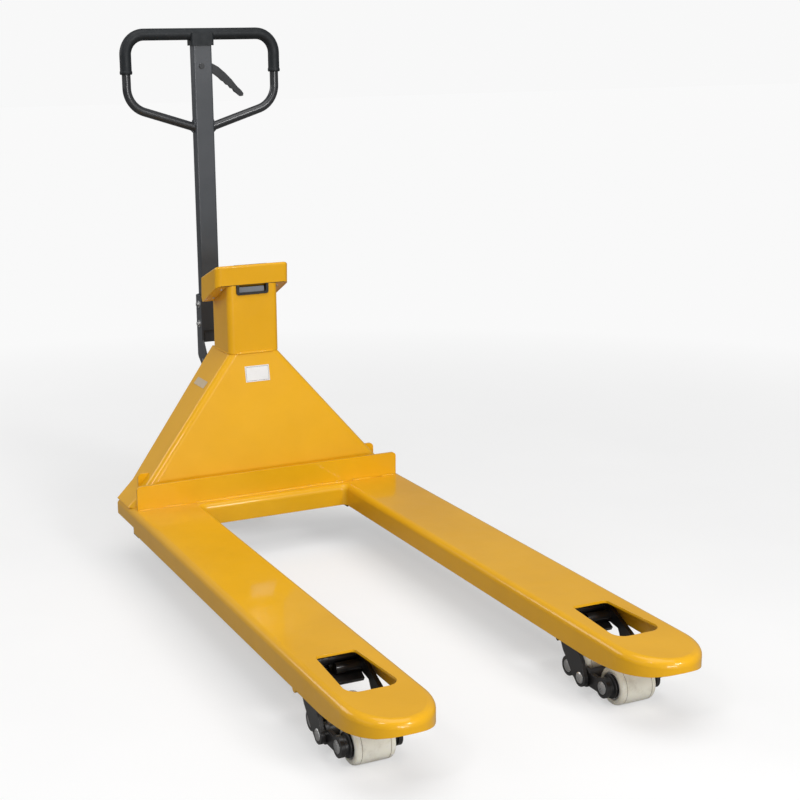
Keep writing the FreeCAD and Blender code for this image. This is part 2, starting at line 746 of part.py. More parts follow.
def steer_hub(sign):
    """Hub with a ring-shaped recess in each face."""
    low, high = one_side(sign, dim.wheel_in, dim.wheel_out)
    recesses = fuse(disc(66, (low - 1, low + 8), STEER_AXLE),
                    disc(66, (high - 8, high + 1), STEER_AXLE))
    return cut(disc(dim.tyre_inner, (low, high), STEER_AXLE),
               disc(dim.axle_radius + dim.run_fit, (low - 1, high + 1), STEER_AXLE),
               cut(recesses, disc(26, (low - 2, high + 2), STEER_AXLE)))


def pump_plunger():
    return fuse(post(dim.plunger_radius, 262, dim.plunger_top, PLUNGER_POST),
                post(14, dim.plunger_top - 5, dim.plunger_top, PLUNGER_POST))


def plunger_spring():
    pitch, height, radius, wire_radius, z_low = 7.5, 54, 12.2, 1.3, 321.6
    y = dim.plunger_y.value + Y0
    helix = Part.makeHelix(pitch, height, radius)
    helix.translate(V(0, y, z_low))
    section = Part.Wire(Part.Circle(V(radius, y, z_low), V(0, 1, 0), wire_radius).toShape())
    return fixed("spring", Part.Wire(helix).makePipeShell([section], True, True))


def release_arm():
    """Small arm on the pump block's left side."""
    span, axis = (-43, -38.4), (386, 300)
    profile = [(384, 292), (390, 307), (408, 322), (409, 314)]
    return cut(fuse(disc(9, span, axis), prism("YZ", profile, *span)),
               disc(4.05, (-50, -30), axis))


# ---------------------------------------------------------------- rocker and lift rods
def clevis(centre, half, y, z_low, z_high, pin_z):
    """Two lugs, rounded at the pin, and the pin that a lift rod hooks on."""
    items = []
    for span in pair(7, 13, centre):
        items.append(box(*span, y - half, y + half, z_low, z_high))
        items.append(disc(half, span, (y, pin_z)))
    return items + [shaft(dim.rod_pin, 14, (y, pin_z), centre)]


def rocker_shaft():
    """Cross shaft with an arm to the swivel bracket and a clevis in each fork."""
    pin_z = dim.rocker_z + dim.lug_length
    arm_end = (dim.arm_length, dim.rocker_z)
    lugs = []
    for _, sign in SIDES:
        lugs += clevis(sign * dim.fork_centre, 7.9, 0, dim.rocker_z, pin_z, pin_z)
    return fuse(shaft(dim.rocker_radius, 334, ROCKER_AXIS), shaft(15, 10, ROCKER_AXIS),
                block(10, 0, dim.arm_length, dim.rocker_z - 11, dim.rocker_z + 11),
                shaft(12, 10, arm_end), shaft(dim.arm_pin, 24, arm_end), *lugs)


def lift_rod(centre):
    """Rod in a fork, with a slotted block at each end for the clevis pins."""
    y, z = FRONT_PIVOT
    front_z = z - dim.front_lug
    rear_z = dim.rocker_z + dim.lug_length
    rod = fuse(rod_between(dim.rod_radius, (centre, -12, 122), (centre, -868, 89.5)),
               block(5, -14, 12, 111.6, 131.4, centre),
               block(5, y - 11, y + 14, front_z - 9, front_z + 9.5, centre))
    return cut(rod,
               block(7, -5.7, 5.7, rear_z - dim.rod_pin - 2.4, rear_z + dim.rod_pin + 0.6,
                     centre),
               block(7, y - 5.7, y + 5.7, front_z - dim.rod_pin - 0.6,
                     front_z + dim.rod_pin + 2.6, centre))


# ---------------------------------------------------------------- roller frames and bogies
# (y, z) outline of a roller frame's side arm
FRAME_ARM = [(-888, 127), (-897, 125.5), (-1000, 80), (-1009, 70), (-1015, 54), (-1021, 40),
             (-990, 27), (-978, 38), (-962, 56), (-949, 70), (-940, 86), (-884, 94)]


def frame_web(centre, half):
    """Sloping plate between the arms, along and below the line from pivot to bogie."""
    y, z = [value.value for value in FRONT_PIVOT]
    rise_y, rise_z = [value.value - start for value, start in zip(BOGIE_AXIS, (y, z))]
    reach = math.hypot(rise_y, rise_z)
    unit_y, unit_z = rise_y / reach, rise_z / reach
    points = [(y + unit_y * along - unit_z * below, z + unit_z * along + unit_y * below)
              for along, below in rect(4, 52, 3, 11)]
    return prism("YZ", points, centre - half, centre + half)


def roller_frame(centre):
    y, z = FRONT_PIVOT
    pin_z = z - dim.front_lug
    arms = []
    for span in pair(dim.frame_in, dim.frame_out, centre):
        arms.append(prism("YZ", FRAME_ARM, *span))
        arms.append(disc(dim.frame_half, span, FRONT_PIVOT))
        arms.append(disc(dim.frame_half * 0.94, span, BOGIE_AXIS))
    # cross tubes and webs run 1 mm into the arms
    reach = dim.frame_in + 1
    tubes = [disc(12.5, span, FRONT_PIVOT) for span in pair(7, reach, centre)]
    tubes.append(shaft(11, 8, FRONT_PIVOT, centre))
    tubes += [disc(10, span, (-907, 102)) for span in pair(10, reach, centre)]
    lugs = clevis(centre, 9, y, pin_z, z, pin_z)
    # room for the lift rod's front end between the lugs
    rod_room = [(y + 17, pin_z - 14), (y + 17, z - 11.2), (y - 1, z - 11.2), (y - 24, z - 1.5),
                (y - 24, pin_z - 14)]
    return cut(fuse(frame_web(centre, reach), *arms, *lugs, *tubes),
               shaft(dim.pivot_radius + dim.run_fit, 90, FRONT_PIVOT, centre),
               shaft(dim.pivot_radius + dim.pin_fit, 90, BOGIE_AXIS, centre),
               prism("YZ", rod_room, centre - 6.5, centre + 6.5))


def frame_pivot_pins():
    return group([shaft(dim.pivot_radius, 74.6, FRONT_PIVOT, sign * dim.fork_centre)
                  for _, sign in SIDES])


def bogie_pin(centre):
    return collared_pin(dim.pivot_radius, 70, [(11, 68.1, 70)], BOGIE_AXIS, centre)


ROLLER_PLACES = (("front", -dim.bogie_y - dim.axle_half_gap),
                 ("rear", -dim.bogie_y + dim.axle_half_gap))


def bogie(centre):
    """Two lobed side plates on a tube."""
    y, z = BOGIE_AXIS
    axles = [(axle_y, z) for _, axle_y in ROLLER_PLACES]
    plates = []
    for low, high in pair(dim.bogie_in, dim.bogie_out, centre):
        lobes = [disc(dim.lobe_radius, (low, high), axis) for axis in axles + [BOGIE_AXIS]]
        through = (low - 1, high + 1)
        plates.append(cut(
            fuse(box(low, high, y - dim.axle_half_gap, y + dim.axle_half_gap, z - 13, z + 13),
                 *lobes),
            *[disc(dim.axle_radius + dim.pin_fit, through, axis) for axis in axles],
            disc(dim.pivot_radius + dim.run_fit, through, BOGIE_AXIS)))
    tube = cut(shaft(14, dim.bogie_in + 0.5, BOGIE_AXIS, centre),
               shaft(dim.pivot_radius + dim.run_fit, 60, BOGIE_AXIS, centre))
    return fuse(tube, *plates)


def roller_axles(centre):
    return group([collared_pin(dim.axle_radius, 58.5, [(21, 38, 48.9)], (y, dim.bogie_z), centre)
                  for _, y in ROLLER_PLACES])


def load_roller(centre, y):
    axis = (y, dim.bogie_z)
    wheel = rounded(shaft(dim.roller_radius, dim.roller_half, axis, centre), 5,
                    lambda mid, ends: len(ends) == 1)
    return cut(wheel, shaft(dim.axle_radius + dim.run_fit, 50, axis, centre))


# ---------------------------------------------------------------- drawbar
def around_bar(half_x, half_y, z_low, z_high):
    return block(half_x, dim.bar_y - half_y, dim.bar_y + half_y, z_low, z_high)


def drawbar_tube():
    """Rectangular tube, closed at the top, with a slot for the lever in its right wall."""
    bar = cut(around_bar(dim.bar_half_x, dim.bar_half_y, dim.bar_low, dim.bar_top),
              around_bar(dim.bar_half_x - dim.bar_wall, dim.bar_half_y - dim.bar_wall,
                         dim.bar_low - 1, dim.bar_top - 4),
              block(5, dim.bar_y - 7, dim.bar_y + 7, 1096, 1138, dim.bar_half_x),
              cross_pin(dim.small_pin + dim.pin_fit, dim.bar_y - 30, dim.bar_y + 30,
                        dim.lever_x, dim.lever_z))
    bar_y = dim.bar_y.value
    return rounded(bar, 4, lambda mid, ends: (
        extent(ends) > 600 and near(abs(mid.x), dim.bar_half_x)
        and near(abs(mid.y - bar_y), dim.bar_half_y)))


# (y, z) outline of the bracket's side plates
BRACKET_SIDE = [(336, 375), (336, 388), (374, 446), (374, 558), (411, 558), (411, 404),
                (407, 398), (366, 366), (350, 359)]


def drawbar_bracket():
    gap = 0.1
    plates = []
    for span in pair(dim.bar_half_x + gap, dim.bracket_out):
        plates.append(prism("YZ", BRACKET_SIDE, *span))
        plates.append(disc(15, span, DRAWBAR_PIVOT))
    plates.append(block(dim.bracket_out, dim.bar_y + dim.bar_half_y + gap, dim.bracket_rear,
                        446, dim.bracket_top))
    plates.append(block(dim.bracket_out, dim.bracket_front, dim.bar_y - dim.bar_half_y - gap,
                        470, dim.bracket_top))
    return cut(fuse(*plates), shaft(dim.pivot_radius + dim.run_fit, 60, DRAWBAR_PIVOT),
               shaft(dim.small_pin + dim.pin_fit, 60, CAM_AXIS))


def cam_roller():
    return fuse(shaft(dim.cam_radius, 12, CAM_AXIS),
                shaft(dim.small_pin, dim.bracket_out, CAM_AXIS))


# ---------------------------------------------------------------- handle
# slope of the loop's lower arms, and the straight length each lower bend takes up
ARM_ANGLE = math.degrees(math.atan2(40, 126))
BEND_LENGTH = dim.lower_bend.value * math.tan(math.radians((90 - ARM_ANGLE) / 2))


def loop_top(radius, low):
    """Both uprights from low, the upper corners and the top bar."""
    y, corner = dim.bar_y, dim.corner_bend
    corner_z = dim.loop_top - corner
    items = []
    for _, sign in SIDES:
        items.append(post(radius, low, corner_z, (sign * dim.loop_half, y)))
        items.append(bend(radius, corner, sign * (dim.loop_half - corner), y, corner_z,
                          0 if sign > 0 else 90, 90))
    return items + [shaft(radius, dim.loop_half - corner, (y, dim.loop_top))]


def loop_arms(radius):
    """The lower bends and the arms that slope down to the drawbar."""
    y, inner_x = dim.bar_y, 18
    across = math.cos(math.radians(ARM_ANGLE))
    down = math.sin(math.radians(ARM_ANGLE))
    x = dim.loop_half.value - BEND_LENGTH * across
    z = dim.knee_z.value - BEND_LENGTH * down
    inner_z = z - (x - inner_x) * down / across
    items = []
    for _, sign in SIDES:
        items.append(bend(radius, dim.lower_bend, sign * (dim.loop_half - dim.lower_bend), y,
                          dim.knee_z + BEND_LENGTH, 270 + ARM_ANGLE if sign > 0 else 180,
                          90 - ARM_ANGLE))
        items.append(rod_between(radius, (sign * x, y, z), (sign * inner_x, y, inner_z)))
    return items


def handle_loop():
    tube = dim.loop_tube
    return cut(fuse(*loop_top(tube, dim.knee_z + BEND_LENGTH), *loop_arms(tube)),
               around_bar(dim.bar_half_x + 0.05, 16, 940, dim.bar_top + 0.5))


def grip_sleeve():
    """Sleeve over the loop's upper part, with a saddle over the drawbar's end."""
    gap = 0.1
    saddle = rounded(around_bar(29, 18, 1170, 1200), 5, lambda mid, ends: extent(ends) > 10)
    return cut(fuse(saddle, *loop_top(dim.grip_radius, dim.grip_end)),
               fuse(*loop_top(dim.loop_tube + 0.02, dim.grip_end - 5)),
               around_bar(dim.bar_half_x + gap, dim.bar_half_y + gap, 1160, dim.bar_top + 0.05))


# (x, z) outline of the release lever
LEVER = [(-19, 1117), (-19, 1127), (0, 1130), (27, 1127), (42, 1119), (60, 1104), (76, 1088),
         (90, 1071), (101, 1061), (106, 1054), (105, 1048), (99, 1047), (89, 1055), (84, 1058),
         (80, 1065), (74, 1067), (69, 1074), (63, 1076), (57, 1083), (51, 1086), (44, 1093),
         (27, 1105), (0, 1114)]


def release_lever():
    y = dim.bar_y
    return cut(prism("XZ", LEVER, y - dim.lever_half, y + dim.lever_half),
               cross_pin(dim.small_pin + dim.run_fit, y - 20, y + 20, dim.lever_x, dim.lever_z))


def lever_pin():
    y = dim.bar_y
    return fuse(cross_pin(dim.small_pin, y - 15, y + 15, dim.lever_x, dim.lever_z),
                cross_pin(6.5, y - 16.5, y - 14.05, dim.lever_x, dim.lever_z),
                cross_pin(6.5, y + 14.05, y + 16.5, dim.lever_x, dim.lever_z))


def release_rod():
    return post(3, 450, 1112, (-16, dim.bar_y))


# ---------------------------------------------------------------- build, check and write
pieces = []


def keep(item, label):
    item.Label = label
    pieces.append(item)


for build in (load_frame, load_stop_plate, inner_chassis, load_cells, column_shell,
              column_back_plate, head_plate, neck_tube, notch_trim, battery_pack,
              indicator_housing, indicator_base, display_window, indicator_board,
              display_panel, junction_box, sensor_cable, front_label, pump_ram,
              thrust_bearing, swivel_bracket, pump_body, steer_axle, drawbar_pivot_pin,
              pump_plunger, plunger_spring, release_arm, rocker_shaft, frame_pivot_pins,
              entry_skids, drawbar_tube, drawbar_bracket, cam_roller, handle_loop,
              grip_sleeve, release_lever, lever_pin, release_rod):
    keep(build(), build.__name__)
for number, x in enumerate(KEY_PLACES, start=1):
    keep(key(x), "key_%d" % number)
for side, sign in SIDES:
    for build in (steer_tyre, steer_hub):
        keep(build(sign), "%s_%s" % (build.__name__, side))
    centre = sign * dim.fork_centre
    for build in (lift_rod, roller_frame, bogie_pin, bogie, roller_axles):
        keep(build(centre), "%s_%s" % (build.__name__, side))
    for end, y in ROLLER_PLACES:
        keep(load_roller(centre, y), "load_roller_%s_%s" % (side, end))

doc.recompute()
bad = ["%s %s" % (item.Name, item.State) for item in doc.Objects
       if "Invalid" in item.State or "Error" in item.State]
bad += ["shape of " + item.Label for item in pieces
        if item.Shape.isNull() or not item.Shape.isValid() or not item.Shape.Solids]
if bad:
    raise SystemExit("failed: " + "; ".join(bad))
for item in pieces:
    item.Shape.exportStep("parts/%s.step" % item.Label)
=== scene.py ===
"""A hand pallet truck with a weighing indicator: looks for its CAD pieces, and a studio.

+X is right, +Y runs back from the load rollers to the drawbar, +Z is up from the floor.
Sizes are in millimetres, with y counted from the front face of the stop plate, unless
marked as metres. Shader distances are in metres.
"""
import bpy
import bmesh
import json
import math
from mathutils import Matrix, Vector


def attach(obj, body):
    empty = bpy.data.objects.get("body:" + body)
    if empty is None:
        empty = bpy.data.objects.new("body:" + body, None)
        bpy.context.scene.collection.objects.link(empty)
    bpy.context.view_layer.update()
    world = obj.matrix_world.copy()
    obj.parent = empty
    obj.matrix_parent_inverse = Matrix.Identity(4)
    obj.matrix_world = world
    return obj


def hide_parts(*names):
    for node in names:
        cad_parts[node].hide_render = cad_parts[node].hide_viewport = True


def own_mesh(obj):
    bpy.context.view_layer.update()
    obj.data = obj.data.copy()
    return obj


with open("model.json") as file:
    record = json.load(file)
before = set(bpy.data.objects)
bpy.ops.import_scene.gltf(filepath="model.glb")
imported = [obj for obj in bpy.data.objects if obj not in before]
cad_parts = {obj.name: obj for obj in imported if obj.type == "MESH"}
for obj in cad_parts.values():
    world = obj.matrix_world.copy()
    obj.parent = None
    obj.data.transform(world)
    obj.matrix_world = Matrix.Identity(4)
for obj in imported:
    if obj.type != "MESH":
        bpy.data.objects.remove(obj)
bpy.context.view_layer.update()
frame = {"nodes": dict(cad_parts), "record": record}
NODES = frame["nodes"]
SCENE = bpy.context.scene

MM = 0.001
STOP_FACE_Y = 0.4045            # metres, the stop plate's front face in the frame
X, Y, Z = Vector((1, 0, 0)), Vector((0, 1, 0)), Vector((0, 0, 1))
SIDES = (("left", -1), ("right", 1))
ENDS = (("a", -1), ("b", 1))    # the two faces of a turned part, along -X and +X

ROLLER_X = 262.5
ROLLER_RADIUS = 36
ROLLER_ROWS = (("front", -1060), ("rear", -950))
BOGIE_Y = (-1060 - 950) / 2
STEER_X, STEER_Y, STEER_RADIUS = 62, 282, 90
PLUNGER_Y = 378
BASE_Z, NECK_Z = 143, 465       # foot and top of the sloping chassis plates
HANDLE_Y = 392                  # middle plane of the drawbar and its loop
PUMP_BACK_Y = 402


def place(x, y, z):
    """Design millimetres to the frame in metres."""
    return Vector((x * MM, y * MM + STOP_FACE_Y, z * MM))


# ------------------------------------------------------------------ shader graphs
class Graph:
    """A node tree with one output node."""

    def __init__(self, owner, output):
        owner.use_nodes = True
        self.tree = owner.node_tree
        self.tree.nodes.clear()
        self.output = self.node(output)

    def feed(self, node, inputs):
        """Link or set inputs, keyed by name or number. Colours are RGB."""
        for key, value in inputs.items():
            socket = node.inputs[key]
            if isinstance(value, bpy.types.NodeSocket):
                self.tree.links.new(value, socket)
            elif socket.type == "RGBA":
                socket.default_value = (*value, 1.0)
            else:
                socket.default_value = value

    def node(self, kind, inputs=None, **settings):
        node = self.tree.nodes.new("ShaderNode" + kind)
        for key, value in settings.items():
            setattr(node, key, value)
        self.feed(node, inputs or {})
        return node


class Surface(Graph):
    """A new material with a principled shader, textured in object coordinates."""

    def __init__(self, name):
        self.material = bpy.data.materials.new(name)
        super().__init__(self.material, "OutputMaterial")
        self.bsdf = self.node("BsdfPrincipled")
        self.coords = self.node("TexCoord").outputs["Object"]

    def finish(self, inputs):
        self.feed(self.bsdf, inputs)
        self.feed(self.output, {"Surface": self.bsdf.outputs["BSDF"]})
        return self.material

    def noise(self, scale, detail=3.0, roughness=0.5, stretch=None):
        vector = self.coords
        if stretch is not None:
            mapping = self.node("Mapping", {"Scale": stretch, "Vector": vector})
            vector = mapping.outputs["Vector"]
        return self.node("TexNoise", {"Scale": scale, "Detail": detail, "Roughness": roughness,
                                      "Vector": vector}).outputs["Fac"]

    def ramp(self, value, *stops):
        """Two stops, each (position, colour)."""
        node = self.node("ValToRGB", {"Fac": value})
        for element, (position, colour) in zip(node.color_ramp.elements, stops):
            element.position = position
            element.color = (*colour, 1.0)
        return node.outputs["Color"]

    def remap(self, value, source, target):
        return self.node("MapRange", {"From Min": source[0], "From Max": source[1],
                                      "To Min": target[0], "To Max": target[1],
                                      "Value": value}).outputs["Result"]

    def mix(self, factor, first, second):
        return self.node("Mix", {0: factor, 6: first, 7: second}, data_type="RGBA").outputs[2]

    def math(self, operation, first, second):
        return self.node("Math", {0: first, 1: second}, operation=operation).outputs[0]

    def edge_normal(self, radius):
        return self.node("Bevel", {"Radius": radius}, samples=4).outputs["Normal"]

    def edge_mask(self, radius):
        """Near 1 on sharp edges: how far the rounded normal leans from the true one."""
        rounded = self.edge_normal(radius)
        true = self.node("NewGeometry").outputs["Normal"]
        dot = self.node("VectorMath", {0: rounded, 1: true}, operation="DOT_PRODUCT")
        lean = self.math("SUBTRACT", 1.0, dot.outputs["Value"])
        return self.remap(lean, source=(0.02, 0.2), target=(0.0, 1.0))

    def bump(self, height, distance, strength, edge):
        """Surface relief on top of edges rounded to the radius `edge`."""
        return self.node("Bump", {"Distance": distance, "Strength": strength, "Height": height,
                                  "Normal": self.edge_normal(edge)}).outputs["Normal"]


# ------------------------------------------------------------------ kinds of material
def painted(name, dark, light, roughness, coat, wear, wear_amount, dust=None,
            peel=0.00012, peel_scale=260.0, edge=0.0012, specular=0.5):
    """Paint with orange peel, chipped edges and, if given, dust low down."""
    s = Surface(name)
    base = s.ramp(s.noise(scale=5.0, detail=4.0), (0.35, dark), (0.65, light))
    fine = s.noise(scale=90.0, detail=5.0, roughness=0.6)
    base = s.mix(s.math("MULTIPLY", fine, 0.10), base, tuple(x * 0.82 for x in dark))
    if dust is not None:
        position = s.node("NewGeometry").outputs["Position"]
        height = s.node("SeparateXYZ", {0: position}).outputs["Z"]
        low = s.remap(height, source=(0.02, 0.18), target=(0.35, 0.0))
        spots = s.math("MULTIPLY", low, s.noise(scale=38.0, detail=6.0, roughness=0.65))
        base = s.mix(spots, base, dust)
    gloss = s.remap(s.noise(scale=22.0, detail=5.0, roughness=0.6),
                    source=(0.3, 0.7), target=(roughness * 0.88, roughness * 1.14))
    chips = s.remap(s.noise(scale=140.0, detail=6.0, roughness=0.7),
                    source=(0.62 - 0.12 * wear_amount, 0.70), target=(0.0, 1.0))
    base = s.mix(s.math("MULTIPLY", s.edge_mask(radius=0.0012), chips), base, wear)
    return s.finish({
        "Base Color": base,
        "Roughness": gloss,
        "Coat Weight": coat,
        "Coat Roughness": 0.045,
        "Specular IOR Level": specular,
        "Normal": s.bump(s.noise(scale=peel_scale, detail=2.0),
                         distance=peel, strength=0.6, edge=edge),
        "Coat Normal": s.bump(s.noise(scale=peel_scale * 0.6, detail=2.0),
                              distance=peel * 0.8, strength=0.5, edge=edge),
    })


def metal(name, dark, light, roughness, stretch=(1, 1, 1)):
    """Bare metal. `stretch` draws the grain out along an axis."""
    s = Surface(name)
    grain = 60.0
    base = s.ramp(s.noise(scale=grain, detail=6.0, roughness=0.6, stretch=stretch),
                  (0.3, dark), (0.7, light))
    stain = s.math("MULTIPLY", s.noise(scale=18.0, detail=4.0), 0.25)
    return s.finish({
        "Base Color": s.mix(stain, base, tuple(x * 0.55 for x in dark)),
        "Metallic": 1.0,
        "Roughness": s.remap(
            s.noise(scale=grain * 1.7, detail=5.0, roughness=0.6, stretch=stretch),
            source=(0.3, 0.7), target=(roughness * 0.75, roughness * 1.3)),
        "Normal": s.bump(s.noise(scale=grain * 6, stretch=stretch),
                         distance=0.00004, strength=0.6, edge=0.0006),
    })


def moulded(name, dark, light, roughness=0.5, grain=700.0, relief=0.00006, dirt=None,
            dirt_amount=0.0, specular=0.5, subsurface=0.0, edge=0.0008, sheen=0.0):
    """Plastic, rubber or label with a fine grain and, if given, patches of dirt."""
    s = Surface(name)
    base = s.ramp(s.noise(scale=12.0, detail=4.0), (0.3, dark), (0.7, light))
    if dirt is not None:
        patches = s.remap(s.noise(scale=46.0, detail=7.0, roughness=0.7),
                          source=(0.48, 0.72), target=(0.0, dirt_amount))
        base = s.mix(patches, base, dirt)
    if subsurface:
        s.feed(s.bsdf, {"Subsurface Weight": subsurface, "Subsurface Scale": 0.5,
                        "Subsurface Radius": (0.006, 0.005, 0.003)})
    return s.finish({
        "Base Color": base,
        "Roughness": s.remap(s.noise(scale=60.0, detail=5.0), source=(0.3, 0.7),
                             target=(roughness * 0.85, min(1.0, roughness * 1.15))),
        "Specular IOR Level": specular,
        "Sheen Weight": sheen,
        "Normal": s.bump(s.noise(scale=grain, roughness=0.6),
                         distance=relief, strength=0.7, edge=edge),
    })


def clear_window():
    s = Surface("clear_window")
    return s.finish({
        "Base Color": s.ramp(s.noise(scale=30.0), (0.3, (0.82, 0.86, 0.85)),
                             (0.7, (0.90, 0.93, 0.92))),
        "Transmission Weight": 0.92,
        "IOR": 1.49,
        "Roughness": s.remap(s.noise(scale=120.0, detail=4.0),
                             source=(0.4, 0.7), target=(0.02, 0.07)),
    })


# Keyed by material slot; loop_paint, silver_label, label_line and parting_line are extras.
FINISH = {
    "yellow_paint": painted(
        "yellow_powder_coat", dark=(0.79, 0.40, 0.004), light=(0.86, 0.445, 0.007),
        roughness=0.32, coat=0.5, specular=0.22,
        wear=(0.50, 0.24, 0.02), wear_amount=0.25, dust=(0.42, 0.24, 0.06)),
    "black_paint": painted(
        "black_enamel", dark=(0.006, 0.006, 0.007), light=(0.013, 0.013, 0.014),
        roughness=0.34, coat=0.25, peel=0.00018, edge=0.0015,
        wear=(0.12, 0.12, 0.12), wear_amount=0.5, dust=(0.06, 0.055, 0.05)),
    "drawbar_paint": painted(
        "drawbar_powder_coat", dark=(0.045, 0.050, 0.057), light=(0.062, 0.067, 0.076),
        roughness=0.38, coat=0.15, peel=0.00016, peel_scale=420.0,
        wear=(0.25, 0.25, 0.25), wear_amount=0.2),
    "loop_paint": painted(
        "loop_powder_coat", dark=(0.014, 0.015, 0.017), light=(0.024, 0.026, 0.029),
        roughness=0.33, coat=0.3, peel=0.00014, peel_scale=420.0,
        wear=(0.20, 0.20, 0.20), wear_amount=0.2),
    "grip_plastic": moulded(
        "grip_soft_plastic", dark=(0.008, 0.010, 0.012), light=(0.014, 0.017, 0.020),
        roughness=0.52, specular=0.32, grain=900.0, relief=0.00012,
        dirt=(0.04, 0.042, 0.045), dirt_amount=0.35),
    "black_plastic": moulded(
        "black_plastic", dark=(0.010, 0.010, 0.011), light=(0.020, 0.020, 0.021),
        roughness=0.42),
    "grey_plastic": moulded(
        "grey_plastic", dark=(0.16, 0.17, 0.19), light=(0.21, 0.225, 0.25)),
    "black_rubber": moulded(
        "black_rubber", dark=(0.008, 0.008, 0.008), light=(0.016, 0.016, 0.015),
        roughness=0.62, grain=500.0, dirt=(0.05, 0.048, 0.044), dirt_amount=0.4),
    "key_rubber": moulded(
        "key_rubber", dark=(0.07, 0.08, 0.095), light=(0.10, 0.11, 0.13),
        roughness=0.58, sheen=0.1),
    "roller_nylon": moulded(
        "roller_nylon", dark=(0.82, 0.78, 0.66), light=(0.90, 0.87, 0.76),
        roughness=0.34, grain=260.0, relief=0.0001, subsurface=0.15, edge=0.0012,
        dirt=(0.36, 0.30, 0.20), dirt_amount=0.35),
    "hub_nylon": moulded(
        "hub_nylon", dark=(0.012, 0.012, 0.013), light=(0.024, 0.024, 0.025),
        roughness=0.4),
    "polyurethane": moulded(
        "tyre_polyurethane", dark=(0.50, 0.44, 0.31), light=(0.60, 0.54, 0.40),
        roughness=0.42, grain=180.0, relief=0.0002, subsurface=0.08,
        dirt=(0.16, 0.13, 0.09), dirt_amount=0.6),
    "bright_steel": metal(
        "bright_steel", dark=(0.58, 0.58, 0.58), light=(0.80, 0.80, 0.79), roughness=0.30),
    "nickel_steel": metal(
        "nickel_steel", dark=(0.40, 0.40, 0.38), light=(0.58, 0.58, 0.55), roughness=0.36),
    "chromed_steel": metal(
        "hard_chrome", dark=(0.60, 0.60, 0.61), light=(0.78, 0.78, 0.78),
        roughness=0.10, stretch=(8, 8, 0.5)),
    "circuit_board": moulded(
        "circuit_board", dark=(0.01, 0.10, 0.04), light=(0.02, 0.16, 0.07), roughness=0.35),
    "lcd_panel": moulded(
        "lcd_panel", dark=(0.20, 0.24, 0.17), light=(0.26, 0.31, 0.22),
        roughness=0.2, grain=1200.0, relief=0.00001),
    "white_label": moulded(
        "white_label", dark=(0.78, 0.78, 0.78), light=(0.86, 0.86, 0.86),
        roughness=0.32, grain=300.0, relief=0.00002, edge=0.0003,
        dirt=(0.6, 0.58, 0.52), dirt_amount=0.25),
    "silver_label": moulded(
        "silver_label", dark=(0.56, 0.44, 0.29), light=(0.66, 0.53, 0.36),
        roughness=0.3, grain=300.0, relief=0.00002, edge=0.0003),
    "label_line": moulded(
        "label_line", dark=(0.05, 0.05, 0.06), light=(0.08, 0.08, 0.09)),
    "parting_line": moulded(
        "parting_line", dark=(0.16, 0.08, 0.035), light=(0.24, 0.13, 0.06), roughness=0.6),
    "clear_window": clear_window(),
}


# ------------------------------------------------------------------ CAD pieces
def dress(node, finish):
    materials = NODES[node].data.materials
    materials.clear()
    materials.append(FINISH[finish])


def dress_cad():
    for part in frame["record"]["subparts"]:
        dress(part["node"], part["material_slot"])
    for node in ("handle_loop", "lever_pin", "release_lever"):
        dress(node, "loop_paint")
    for piece in NODES.values():
        for face in piece.data.polygons:
            face.use_smooth = True


# ------------------------------------------------------------------ mesh builders
def install(name, mesh, slot, body, smooth, finish=None):
    """Make the object. `finish` overrides the slot's own; `smooth` is in degrees."""
    for face in mesh.polygons:
        face.use_smooth = True
    mesh.set_sharp_from_angle(angle=math.radians(smooth))
    piece = bpy.data.objects.new(name, mesh)
    SCENE.collection.objects.link(piece)
    mesh.materials.append(FINISH[finish or slot])
    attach(piece, body)
    return piece


def add(name, verts, faces, slot, body, smooth=35.0, finish=None):
    mesh = bpy.data.meshes.new(name)
    mesh.from_pydata([tuple(v) for v in verts], [], faces)
    bm = bmesh.new()
    bm.from_mesh(mesh)
    bmesh.ops.remove_doubles(bm, verts=bm.verts, dist=1e-6)
    bmesh.ops.recalc_face_normals(bm, faces=bm.faces)
    bm.to_mesh(mesh)
    bm.free()
    return install(name, mesh, slot, body, smooth, finish)


def basis(direction):
    """The unit direction and two unit vectors square to it."""
    along = Vector(direction).normalized()
    reference = Z if abs(along.z) < 0.9 else X
    across = reference.cross(along).normalized()
    return along, across, along.cross(across)


def lathe(name, centre, direction, profile, slot, body, segments=64, smooth=35.0,
          closed=False, finish=None):
    """Turn a profile of (distance along the axis, radius) about the axis through centre."""
    along, across, other = basis(direction)
    verts, faces, rings = [], [], []
    for distance, radius in profile:
        middle = centre + along * distance * MM
        if radius <= 1e-6:
            rings.append([len(verts)])
            verts.append(middle)
            continue
        rings.append(list(range(len(verts), len(verts) + segments)))
        for k in range(segments):
            turn = 2 * math.pi * k / segments
            spoke = across * math.cos(turn) + other * math.sin(turn)
            verts.append(middle + spoke * radius * MM)
    pairs = list(zip(rings, rings[1:]))
    if closed:
        pairs.append((rings[-1], rings[0]))
    for near, far in pairs:
        if len(near) == 1 and len(far) == 1:
            continue
        for k in range(segments):
            k2 = (k + 1) % segments
            if len(near) == 1:
                faces.append((near[0], far[k], far[k2]))
            elif len(far) == 1:
                faces.append((near[k], far[0], near[k2]))
            else:
                faces.append((near[k], far[k], far[k2], near[k2]))
    return add(name, verts, faces, slot, body, smooth, finish)


def mirrored(half):
    """A profile half, as (distance from the middle, radius), run from one end to the other."""
    return [(-a, r) for a, r in half] + [(a, r) for a, r in reversed(half)]


